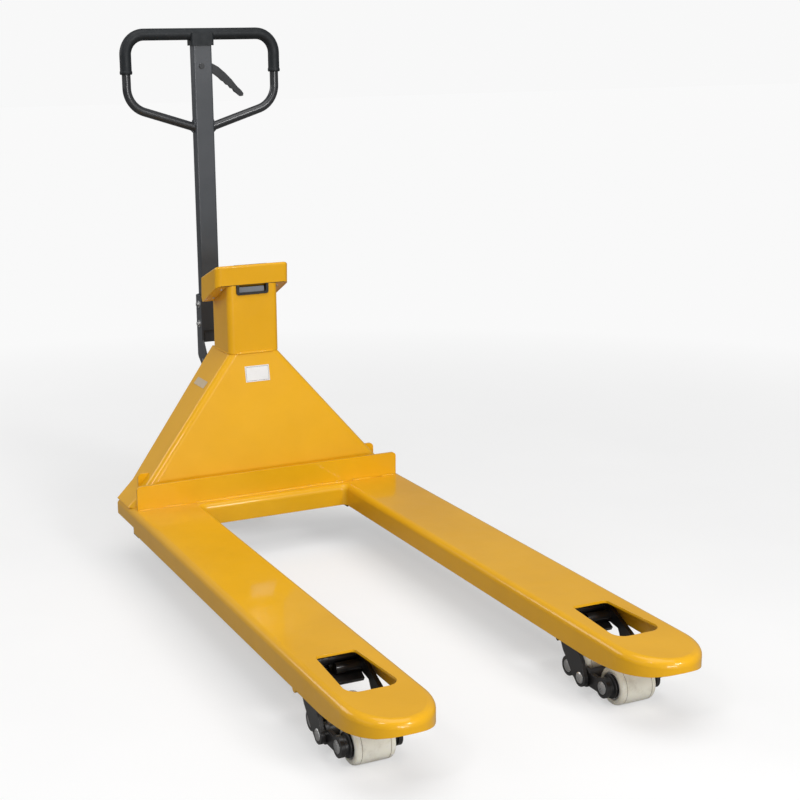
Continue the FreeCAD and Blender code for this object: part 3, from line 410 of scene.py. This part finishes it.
def sweep(name, points, outlines, slot, body, up=Y, smooth=40.0):
    """A capped tube along points in metres, with one outline of (side, up) per point."""
    count, corners = len(points), len(outlines[0])
    verts, faces = [], []
    for i, (point, outline) in enumerate(zip(points, outlines)):
        along = (points[min(i + 1, count - 1)] - points[max(i - 1, 0)]).normalized()
        side = along.cross(up).normalized()
        rise = side.cross(along).normalized()
        verts += [point + side * (s * MM) + rise * (r * MM) for s, r in outline]
    for i in range(count - 1):
        near, far = i * corners, (i + 1) * corners
        for k in range(corners):
            k2 = (k + 1) % corners
            faces.append((near + k, near + k2, far + k2, far + k))
    faces.append(tuple(range(corners - 1, -1, -1)))
    faces.append(tuple((count - 1) * corners + k for k in range(corners)))
    return add(name, verts, faces, slot, body, smooth)


def circle(radius, segments):
    turns = [2 * math.pi * k / segments for k in range(segments)]
    return [(radius * math.cos(turn), radius * math.sin(turn)) for turn in turns]


def rounded_rect(width, height, radius, x=0, y=0):
    """An outline centred on (x, y), with six steps round each corner."""
    steps = 6
    right, left = x + width / 2 - radius, x - width / 2 + radius
    top, bottom = y + height / 2 - radius, y - height / 2 + radius
    outline = []
    for corner_x, corner_y, start in ((right, top, 0), (left, top, 90),
                                      (left, bottom, 180), (right, bottom, 270)):
        for k in range(steps + 1):
            turn = math.radians(start + 90 * k / steps)
            outline.append((corner_x + radius * math.cos(turn),
                            corner_y + radius * math.sin(turn)))
    return outline


def plate(name, loops, thickness, origin, x_axis, y_axis, slot, body, finish=None):
    """A flat plate on the plane through origin (metres). Loops: outer first, then holes."""
    curve = bpy.data.curves.new(name + "_curve", "CURVE")
    curve.dimensions = "2D"
    curve.fill_mode = "BOTH"
    curve.extrude = thickness * MM / 2
    for loop in loops:
        spline = curve.splines.new("POLY")
        spline.points.add(len(loop) - 1)
        for point, (x, y) in zip(spline.points, loop):
            point.co = (x * MM, y * MM, 0.0, 1.0)
        spline.use_cyclic_u = True
    draft = bpy.data.objects.new(name + "_tmp", curve)
    SCENE.collection.objects.link(draft)
    bpy.context.view_layer.update()
    depsgraph = bpy.context.evaluated_depsgraph_get()
    flat = bpy.data.meshes.new_from_object(draft.evaluated_get(depsgraph))
    bpy.data.objects.remove(draft)
    x_unit, y_unit = x_axis.normalized(), y_axis.normalized()
    normal = x_axis.cross(y_axis).normalized()
    middle = origin + normal * thickness * MM / 2
    verts = [middle + x_unit * v.co.x + y_unit * v.co.y + normal * v.co.z
             for v in flat.vertices]
    faces = [tuple(p.vertices) for p in flat.polygons]
    return add(name, verts, faces, slot, body, smooth=30.0, finish=finish)


# ------------------------------------------------------------------ load rollers
# Profiles are (distance from the roller's middle along its axle, radius).
TREAD_HALF = [
    (37.5, 27.0), (37.5, 30.0), (37.0, 31.6), (35.8, 33.4), (33.8, 34.9), (31.4, 35.7),
    (28.8, 36.0), (27.4, 36.0), (27.1, 35.55), (26.3, 35.55), (26.0, 36.0)]
BORE_HALF = [(-37.0, 26.0), (-33.5, 25.0), (-33.5, 10.2)]
SEAL = [
    (33.0, 10.3), (36.2, 10.3), (36.6, 10.8), (36.6, 15.0), (36.0, 15.6), (36.0, 20.5),
    (36.5, 21.2), (36.5, 24.4), (36.0, 24.9), (33.0, 24.9)]
PARTING_LINE = [(26.4, 35.3), (26.4, 35.72), (27.0, 35.72), (27.0, 35.3)]
AXLE_HALF = [(58.5, 0), (58.5, 7.6), (58.1, 8.6), (57.2, 9.9)]
DISC = [
    (38.1, 10.0), (38.1, 21.4), (38.8, 22.2), (41.0, 22.2), (41.8, 21.4), (42.2, 17.5),
    (43.0, 16.4), (48.2, 16.0), (48.9, 15.4), (48.9, 10.0)]
CIRCLIP = [(57.1, 8.0), (57.1, 11.8), (57.8, 12.0), (58.0, 11.6), (58.0, 8.0)]
PIVOT_HALF = [(70.0, 0), (70.0, 7.5), (69.4, 9.8), (68.4, 10.8), (68.1, 10.8), (68.1, 7.9)]
FRAME_BOSS = [(59.0, 12.4), (60.0, 16.2), (60.0, 12.4)]
BOSS_Y, BOSS_Z = -880, 111


def load_roller(key, centre):
    body = "load_roller_" + key
    tread = lathe("roller_tread_" + key, centre, X, mirrored(TREAD_HALF) + mirrored(BORE_HALF),
                  "roller_nylon", body, segments=96, closed=True, smooth=50.0)
    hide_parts(body)
    for end, out in ENDS:
        lathe(f"roller_seal_{key}_{end}", centre, X * out, SEAL, "bright_steel", body,
              closed=True)
        lathe(f"roller_line_{key}_{end}", centre, X * out, PARTING_LINE, None, body,
              segments=96, closed=True, finish="parting_line")


def roller_axle(key, centre, body):
    """A roller's axle, with a black disc and a circlip at each end."""
    axle = lathe("roller_axle_" + key, centre, X, mirrored(AXLE_HALF), "bright_steel", body,
                 segments=40)
    for end, out in ENDS:
        lathe(f"roller_disc_{key}_{end}", centre, X * out, DISC, "black_plastic", body,
              segments=56, closed=True)
        lathe(f"axle_circlip_{key}_{end}", centre, X * out, CIRCLIP, "bright_steel", body,
              segments=40, closed=True)
    return axle


def bogies():
    for side, sign in SIDES:
        x = sign * ROLLER_X
        rollers = [(f"{side}_{row}", place(x, y, ROLLER_RADIUS)) for row, y in ROLLER_ROWS]
        for key, centre in rollers:
            load_roller(key, centre)
        axles = [roller_axle(key, centre, "bogie_" + side) for key, centre in rollers]
        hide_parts("roller_axles_" + side)
        frame_body = "roller_frame_" + side
        pivot = lathe("bogie_pivot_" + side, place(x, BOGIE_Y, ROLLER_RADIUS), X,
                      mirrored(PIVOT_HALF), "bright_steel", frame_body, segments=40)
        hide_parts("bogie_pin_" + side)
        for end, out in ENDS:
            lathe(f"frame_boss_{side}_{end}", place(x, BOSS_Y, BOSS_Z), X * out, FRAME_BOSS,
                  "black_paint", frame_body, closed=True)


# ------------------------------------------------------------------ steer wheels
# Profiles are (distance from the wheel's middle, radius).
TYRE_HALF = [
    (25.0, 76.0), (25.0, 83.5), (24.4, 85.6), (22.8, 87.6), (20.4, 89.0), (17.0, 89.8),
    (12.0, STEER_RADIUS)]
TYRE_SEAT = [(25.0, 75.0), (-25.0, 75.0)]
HUB_HALF = [
    (25.0, 74.95), (25.0, 69.0), (23.6, 67.6), (13.0, 65.5), (12.0, 63.0), (12.0, 32.0),
    (13.0, 29.5), (23.6, 27.0), (25.0, 25.5), (25.0, 12.0), (24.0, 10.2)]
BEARING = [
    (24.0, 10.3), (25.1, 10.3), (25.1, 13.6), (24.6, 14.0), (24.6, 20.2), (25.1, 20.6),
    (25.1, 24.8), (24.0, 24.8)]
RIB_COUNT = 8
RIB_START_ANGLE = 0.2           # radians from +Y
RIB_INNER, RIB_OUTER = 29.5, 65.5
RIB_OFFSET = 16.6               # from the wheel's middle
RIB_OUTLINE = [(-2.2, -5.5), (2.2, -5.5), (1.6, 5.5), (-1.6, 5.5)]
# (distance out from the cap's face, radius)
AXLE_CAP = [
    (-2.4, 15.0), (-0.8, 15.0), (0.0, 14.2), (0.0, 10.5), (-0.6, 10.0), (-0.6, 0.0),
    (-2.4, 0.0)]
AXLE_CAP_X = 90


def steer_wheel(side, sign):
    centre = place(sign * STEER_X, STEER_Y, STEER_RADIUS)
    body = "steer_wheel_" + side
    tyre = lathe("steer_tread_" + side, centre, X, mirrored(TYRE_HALF) + TYRE_SEAT,
                 "polyurethane", body, segments=128, closed=True, smooth=50.0)
    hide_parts("steer_tyre_" + side)
    hub = lathe("steer_hub_body_" + side, centre, X, mirrored(HUB_HALF), "hub_nylon", body,
                segments=96, closed=True)
    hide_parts("steer_hub_" + side)
    for end, out in ENDS:
        for k in range(RIB_COUNT):
            turn = 2 * math.pi / RIB_COUNT * k + RIB_START_ANGLE
            spoke = Y * math.cos(turn) + Z * math.sin(turn)
            inner, outer = (centre + spoke * (radius * MM) + X * out * (RIB_OFFSET * MM)
                            for radius in (RIB_INNER, RIB_OUTER))
            sweep(f"hub_rib_{side}_{end}_{k}", [inner, (inner + outer) / 2, outer],
                  [RIB_OUTLINE] * 3, "hub_nylon", body, up=X * out)
        lathe(f"hub_bearing_{side}_{end}", centre, X * out, BEARING, "bright_steel", body,
              closed=True)
    lathe("axle_cap_" + side, place(sign * AXLE_CAP_X, STEER_Y, STEER_RADIUS), X * sign,
          AXLE_CAP, "bright_steel", "pump", segments=48, closed=True)


# ------------------------------------------------------------------ plunger spring
def plunger_spring():
    """A coil with close end turns, on a mesh of its own."""
    turns, steps = 7.2, 260
    coil_radius, wire_radius = 12.2, 1.3
    low, high = 321.55, 375.45      # z of the wire's two ends
    end_share, end_rise = 0.12, 2.7  # part of the wire in each close end, and its rise
    points = []
    for i in range(steps + 1):
        t = i / steps
        turn = 2 * math.pi * turns * t
        if t < end_share:
            z = low + end_rise * (t / end_share)
        elif t > 1 - end_share:
            z = high - end_rise * ((1 - t) / end_share)
        else:
            open_rise = high - low - 2 * end_rise
            z = low + end_rise + open_rise * (t - end_share) / (1 - 2 * end_share)
        points.append(place(coil_radius * math.cos(turn),
                            PLUNGER_Y + coil_radius * math.sin(turn), z))
    coil = sweep("plunger_coil", points, [circle(wire_radius, 12)] * len(points),
                 "bright_steel", "pump", up=Z)
    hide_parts("plunger_spring")
    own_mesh(coil)


# ------------------------------------------------------------------ weld beads
CHASSIS = ("yellow_paint", "chassis")   # slot and body
DRAWBAR = ("drawbar_paint", "drawbar")
WELD_PITCH = 4.0                        # length of one ripple

# Beads made once on each side: name, start, end (x away from the middle), radius, seed, part
SIDE_WELDS = (
    ("weld_ear", (287, 72.0, 144), (304, 72.0, 144), 2.2, 0, CHASSIS),
    ("weld_column_side", (338, 34, 144.2), (338, 108, 144.2), 2.2, 0.4, CHASSIS),
    ("weld_neck_side", (62.6, 100, 465), (62.6, 187, 465), 1.8, 0.9, CHASSIS),
    ("weld_loop_front", (24.6, HANDLE_Y - 8, 976), (24.6, HANDLE_Y - 8, 993), 2.4, 0, DRAWBAR),
    ("weld_loop_back", (24.6, HANDLE_Y + 8, 976), (24.6, HANDLE_Y + 8, 993), 2.4, 0.5, DRAWBAR),
)


def weld(name, start, end, radius, seed, part=CHASSIS):
    """A bead: a tube that wanders up and down, ripples in radius and thins at its ends."""
    a, b = place(*start), place(*end)
    length = (b - a).length
    steps = max(6, int(length / (WELD_PITCH * MM / 4)))
    points, outlines = [], []
    for i in range(steps + 1):
        t = i / steps
        s = t * length / MM
        wobble = 0.35 * math.sin(s * 0.37 + seed) + 0.25 * math.sin(s * 0.91 + 2 * seed)
        points.append(a.lerp(b, t) + Vector((0, 0, wobble * 0.6 * MM)))
        taper = min(1.0, 0.55 + 3.0 * min(t, 1 - t) * length / 0.03)
        ripple = 1 - abs(((s / WELD_PITCH + seed) % 1.0) * 2 - 1)
        outlines.append(circle(radius * taper * (1.0 + 0.13 * ripple + 0.06 * wobble), 10))
    up = Y if abs((b - a).normalized().y) < 0.8 else Z
    sweep(name, points, outlines, *part, up=up, smooth=60.0)


def cross_weld(name, x_from, x_to, y, z, radius, seed, part=CHASSIS):
    weld(name, (x_from, y, z), (x_to, y, z), radius, seed, part)


def welds():
    cross_weld("weld_stop_front", -190, 190, y=-2.0, z=143.6, radius=2.7, seed=0.3)
    for k, (x0, x1) in enumerate(((-325, -290), (-262, -214), (212, 262), (290, 325))):
        cross_weld(f"weld_stop_stitch_{k}", x0, x1, y=-1.8, z=143.5, radius=2.4, seed=k * 0.7)
    for k, (_, sign) in enumerate(SIDES):
        for name, (x0, y0, z0), (x1, y1, z1), radius, seed, part in SIDE_WELDS:
            weld(f"{name}_{k}", (sign * x0, y0, z0), (sign * x1, y1, z1), radius,
                 k + seed, part)
    cross_weld("weld_neck_front", -47, 47, y=85.0, z=465.2, radius=2.6, seed=1.2)
    cross_weld("weld_neck_back", -47, 47, y=200.0, z=465.4, radius=1.8, seed=1.4)
    for k, (x0, x1) in enumerate(((-170, -110), (-30, 30), (110, 170))):
        cross_weld(f"weld_back_{k}", x0, x1, y=152.5, z=300.0, radius=2.0, seed=k)
    z = 558.6                           # top of the drawbar's bracket
    for k, (_, sign) in enumerate(SIDES):
        weld(f"weld_bracket_{k}", (sign * 29, 380, z), (sign * 29, 406, z), radius=1.8,
             seed=k, part=DRAWBAR)
    cross_weld("weld_bracket_front", -26, 26, 375.6, z, radius=2.0, seed=2.2, part=DRAWBAR)
    cross_weld("weld_bracket_back", -26, 26, 408.6, z, radius=2.0, seed=2.4, part=DRAWBAR)


# ------------------------------------------------------------------ drawbar details
GUSSET = [(23.8, 976), (23.8, 962), (27.0, 962), (50, 985), (48, 990)]  # (x, z)
GUSSET_THICKNESS = 5
# (height above the grip's end, radius)
GRIP_END = [
    (-1.6, 10.6), (-2.6, 12.0), (-2.4, 13.6), (-1.0, 14.8), (1.6, 15.2), (4.6, 15.0),
    (6.4, 14.2), (6.8, 13.6), (6.8, 10.6)]
GRIP_X, GRIP_END_Z = 191, 1107


def loop_gussets():
    """Small gussets between the handle's arms and the drawbar."""
    n = len(GUSSET)
    faces = [tuple(range(n)), tuple(range(2 * n - 1, n - 1, -1))]
    faces += [(i, (i + 1) % n, n + (i + 1) % n, n + i) for i in range(n)]
    for k, (_, sign) in enumerate(SIDES):
        verts = [place(sign * x, HANDLE_Y + half * GUSSET_THICKNESS / 2, z)
                 for half in (-1, 1) for x, z in GUSSET]
        add(f"loop_gusset_{k}", verts, faces, *DRAWBAR)


def grip_ends():
    for side, sign in SIDES:
        lathe("grip_end_" + side, place(sign * GRIP_X, HANDLE_Y, GRIP_END_Z), Z, GRIP_END,
              "grip_plastic", "drawbar", segments=48, closed=True, smooth=60.0)


# ------------------------------------------------------------------ fasteners
def hexbolt(name, at, direction, flats, head, body):
    """A chamfered hexagon head, `flats` across, on a washer whose back is near `at`."""
    along, across, other = basis(direction)
    washer = [(-0.3, 0), (-0.3, flats * 0.92), (1.2, flats * 0.92), (1.5, flats * 0.86),
              (1.5, 0)]
    lathe(name + "_washer", at, direction, washer, "bright_steel", body, segments=32)
    base = 1.45
    corner = flats / math.sqrt(3)
    verts, faces = [], []
    for height, radius in ((base, corner * 0.99), (base + 0.3, corner),
                           (base + head * 0.86, corner), (base + head, corner * 0.88)):
        for k in range(12):
            turn = math.pi / 6 * k
            reach = radius * (1.0 if k % 2 == 0 else math.cos(math.pi / 6))
            spoke = across * math.cos(turn) + other * math.sin(turn)
            verts.append(at + along * height * MM + spoke * reach * MM)
    for j in range(3):
        for k in range(12):
            k2 = (k + 1) % 12
            faces.append((j * 12 + k, j * 12 + k2, (j + 1) * 12 + k2, (j + 1) * 12 + k))
    faces.append(tuple(range(11, -1, -1)))
    faces.append(tuple(36 + k for k in range(12)))
    add(name, verts, faces, "bright_steel", body, smooth=25.0)


def fasteners():
    hexbolt("ram_nut", place(0, STEER_Y, 395), Z, flats=30, head=13, body="chassis")
    for k, x in enumerate((-22, 22)):
        for row, z in (("", 215), ("low_", 150)):
            hexbolt(f"pump_bolt_{row}{k}", place(x, PUMP_BACK_Y, z), Y,
                    flats=10, head=5, body="pump")
    hexbolt("filler_plug", place(0, PUMP_BACK_Y, 185), Y, flats=16, head=7, body="pump")
    for k, (sign, z) in enumerate(((-1, 486), (1, 486), (-1, 536), (1, 536))):
        hexbolt(f"bracket_bolt_{k}", place(sign * 29.0, HANDLE_Y, z), X * sign,
                flats=10, head=5, body="drawbar")
    rear_normal = Vector((0, 0.963, -0.269))
    rear_slope = (210.0 - 121.0) / (NECK_Z - BASE_Z)
    for k, (x, z) in enumerate(((-120, 318), (120, 318), (-52, 430), (52, 430))):
        y = 121.0 + (z - BASE_Z) * rear_slope
        hexbolt(f"plate_bolt_{k}", place(x, y + 0.2, z), rear_normal,
                flats=10, head=5, body="chassis")


# ------------------------------------------------------------------ indicator
FACE_TILT = math.radians(19.86)
FACE = place(0, 136, 656.5)     # origin of the sloping face
FACE_DOWN = Vector((0, math.cos(FACE_TILT), -math.sin(FACE_TILT)))
FACE_OUT = Vector((0, math.sin(FACE_TILT), math.cos(FACE_TILT)))
KEY_XS = (-48, -16, 16, 48)
KEY_ROW = 20                    # from FACE along FACE_DOWN
DISPLAY_ROW = -22


def indicator_face():
    """The membrane and display bezel, and a bar mark on each key."""
    loops = [rounded_rect(152, 80, 6, y=-4), rounded_rect(77.2, 33.2, 2.0, y=DISPLAY_ROW)]
    loops += [rounded_rect(22, 15.6, 2.2, x=x, y=KEY_ROW) for x in KEY_XS]
    plate("indicator_membrane", loops, 0.5, FACE + FACE_OUT * (0.05 * MM), X, FACE_DOWN,
          "black_plastic", "chassis")
    bezel = [rounded_rect(86, 41, 4.0, y=DISPLAY_ROW), rounded_rect(75, 31, 2.0, y=DISPLAY_ROW)]
    plate("display_bezel", bezel, 1.4, FACE + FACE_OUT * (0.6 * MM), X, FACE_DOWN,
          "black_plastic", "chassis")
    for k, x in enumerate(KEY_XS, start=1):
        origin = FACE + X * x * MM + FACE_DOWN * (KEY_ROW * MM) + FACE_OUT * (2.02 * MM)
        plate(f"key_mark_{k}", [rounded_rect(8, 1.8, 0.8)], 0.12, origin, X, FACE_DOWN,
              "white_label", f"key_{k}")


def hood_screws():
    """Domed screws on the hood's sloping underside."""
    outward = Vector((0, -0.4437, -0.8962))
    dome = [(-0.5, 0), (-0.5, 3.4), (0.6, 3.4), (1.5, 2.6), (1.9, 1.2), (1.9, 0)]
    # x, and the share of the way from the slope's front edge to its back edge
    for k, (x, share) in enumerate(((-70, 0.25), (70, 0.25), (-70, 0.78), (70, 0.78))):
        at = place(x, 84 + 101 * share, 628 - 50 * share) + outward * (0.1 * MM)
        lathe(f"hood_screw_{k}", at, outward, dome, "bright_steel", "chassis", segments=24)


def hood_seam_strip():
    """A dark round-edged strip along the hood's lower front edge."""
    low, high = place(-80, 84.6, 626.7), place(80, 86.4, 628.6)
    bm = bmesh.new()
    bmesh.ops.create_cube(bm, size=1.0)
    for v in bm.verts:
        v.co = Vector([low[i] + (v.co[i] + 0.5) * (high[i] - low[i]) for i in range(3)])
    bmesh.ops.bevel(bm, geom=list(bm.edges), offset=0.4 * MM, segments=3, profile=0.5,
                    affect="EDGES")
    mesh = bpy.data.meshes.new("hood_seam_strip")
    bm.to_mesh(mesh)
    bm.free()
    install("hood_seam_strip", mesh, "black_rubber", "chassis", smooth=50)


# ------------------------------------------------------------------ labels
def front_label_line():
    """A thin printed frame on the chassis's sloping front."""
    slope = (84.9 - 25.1) / (NECK_Z - BASE_Z)
    z = 415.5
    origin = place(1.5, 25.1 + (z - BASE_Z) * slope - 0.75, z)
    plate("front_label_line", [rounded_rect(57, 33.2, 1.2), rounded_rect(55.8, 32, 0.9)],
          0.05, origin, X, Vector((0, slope, 1)).normalized(), "white_label", "chassis",
          finish="label_line")


def side_label():
    """A blank plate on the chassis's sloping left side."""
    slope = (300.0 - 61.0) / (NECK_Z - 180)
    outward = Vector((-1.0, 0, slope)).normalized()
    y, z = 133.0, 394.0
    origin = place(-(61 + (NECK_Z - z) * slope), y, z) + outward * (0.35 * MM)
    plate("side_label", [rounded_rect(66, 19, 1.0)], 0.4, origin, -Y,
          Vector((slope, 0, 1.0)).normalized(), "white_label", "chassis",
          finish="silver_label")


# ------------------------------------------------------------------ studio
# name, place, target, size (metres), power (watts)
LIGHTS = (
    ("key", (1.3, -4.4, 2.7), (0, 0.1, 0.4), (1.2, 1.2), 90),
    ("streak", (-2.5, -2.0, 3.1), (0, 0.5, 0.35), (0.6, 0.6), 18),
    ("low_front", (-0.3, -4.7, 0.75), (0, -0.2, 0.3), (2.0, 0.9), 60),
    ("top", (-0.2, -0.6, 4.0), (0, 0, 0), (3.2, 3.2), 62),
    ("left", (-4.2, -0.6, 1.5), (0, 0.2, 0.5), (2.6, 1.6), 7),
    ("rear", (-3.3, 3.0, 2.3), (0, 0.2, 0.5), (2.4, 1.8), 40),
)


def add_camera():
    """The camera stands to the front left and looks slightly down."""
    azimuth, elevation, roll = (math.radians(d) for d in (-23.78, 14.44, -0.94))
    x, y, z = -1.232, -3.075 + STOP_FACE_Y, 1.1594      # metres
    back = Vector((math.sin(azimuth) * math.cos(elevation),
                   -math.cos(azimuth) * math.cos(elevation), math.sin(elevation)))
    level = Vector((math.cos(azimuth), math.sin(azimuth), 0.0))
    upright = level.cross(-back)
    right = level * math.cos(roll) + upright * math.sin(roll)
    up = upright * math.cos(roll) - level * math.sin(roll)
    data = bpy.data.cameras.new("camera")
    data.sensor_width = 36.0
    data.lens = 65.7
    data.shift_x = 0.1025
    data.shift_y = 0.03
    data.clip_end = 60.0
    camera = bpy.data.objects.new("camera", data)
    SCENE.collection.objects.link(camera)
    camera.matrix_world = Matrix(((right.x, up.x, back.x, x), (right.y, up.y, back.y, y),
                                  (right.z, up.z, back.z, z), (0, 0, 0, 1)))
    SCENE.camera = camera


def add_world():
    """Near white to the camera, a dim white light to everything else."""
    world = bpy.data.worlds.new("studio")
    SCENE.world = world
    g = Graph(world, "OutputWorld")
    path = g.node("LightPath")
    seen = g.node("Background", {"Color": (0.94, 0.94, 0.94), "Strength": 1.0})
    ambient = g.node("Background", {"Color": (1.0, 1.0, 1.0), "Strength": 0.30})
    mixed = g.node("MixShader", {0: path.outputs["Is Camera Ray"], 1: ambient.outputs[0],
                                 2: seen.outputs[0]})
    g.feed(g.output, {"Surface": mixed.outputs[0]})


def add_lights():
    for name, at, target, (width, height), power in LIGHTS:
        data = bpy.data.lights.new(name, "AREA")
        data.shape = "RECTANGLE"
        data.size, data.size_y = width, height
        data.energy = power
        lamp = bpy.data.objects.new(name, data)
        SCENE.collection.objects.link(lamp)
        lamp.location = at
        aim = Vector(target) - Vector(at)
        lamp.rotation_euler = aim.to_track_quat("-Z", "Y").to_euler()


def floor_paper():
    """Pale paper: bright to the camera, dull to bounced light, clear from underneath."""
    s = Surface("floor_paper")
    geometry = s.node("NewGeometry")
    distance = s.node("VectorMath", {0: geometry.outputs["Position"]}, operation="LENGTH")
    away = s.remap(distance.outputs["Value"], source=(1.1, 3.2), target=(0.0, 1.0))
    paper = s.ramp(s.noise(scale=2.0), (0.3, (0.50, 0.50, 0.50)), (0.7, (0.52, 0.52, 0.52)))
    s.feed(s.bsdf, {
        "Base Color": s.mix(away, paper, (0.02, 0.02, 0.02)),
        "Emission Strength": s.remap(away, source=(0.0, 1.0), target=(0.46, 0.93)),
        "Roughness": 0.85,
        "Specular IOR Level": 0.1,
        "Emission Color": (1.0, 1.0, 1.0),
    })
    dull = s.node("BsdfDiffuse", {"Color": (0.30, 0.30, 0.30)})
    to_camera = s.node("LightPath").outputs["Is Camera Ray"]
    top = s.node("MixShader", {0: to_camera, 1: dull.outputs[0], 2: s.bsdf.outputs[0]})
    clear = s.node("BsdfTransparent")
    from_below = s.math("MULTIPLY", geometry.outputs["Backfacing"], to_camera)
    both = s.node("MixShader", {0: from_below, 1: top.outputs[0], 2: clear.outputs[0]})
    s.feed(s.output, {"Surface": both.outputs[0]})
    return s.material


def add_floor():
    paper = floor_paper()
    bpy.ops.mesh.primitive_plane_add(size=60, location=(0, 0, -0.0004))
    floor = bpy.context.object
    floor.name = "floor"
    floor.data.materials.append(paper)


# ------------------------------------------------------------------ build
dress_cad()
bogies()
for side, sign in SIDES:
    steer_wheel(side, sign)
plunger_spring()
welds()
loop_gussets()
grip_ends()
fasteners()
indicator_face()
hood_screws()
hood_seam_strip()
front_label_line()
side_label()
add_camera()
add_world()
add_lights()
add_floor()

# A colour configuration may lack the Standard view; the default view then stays.
try:
    SCENE.view_settings.view_transform = "Standard"
    SCENE.view_settings.look = "None"
except TypeError:
    pass
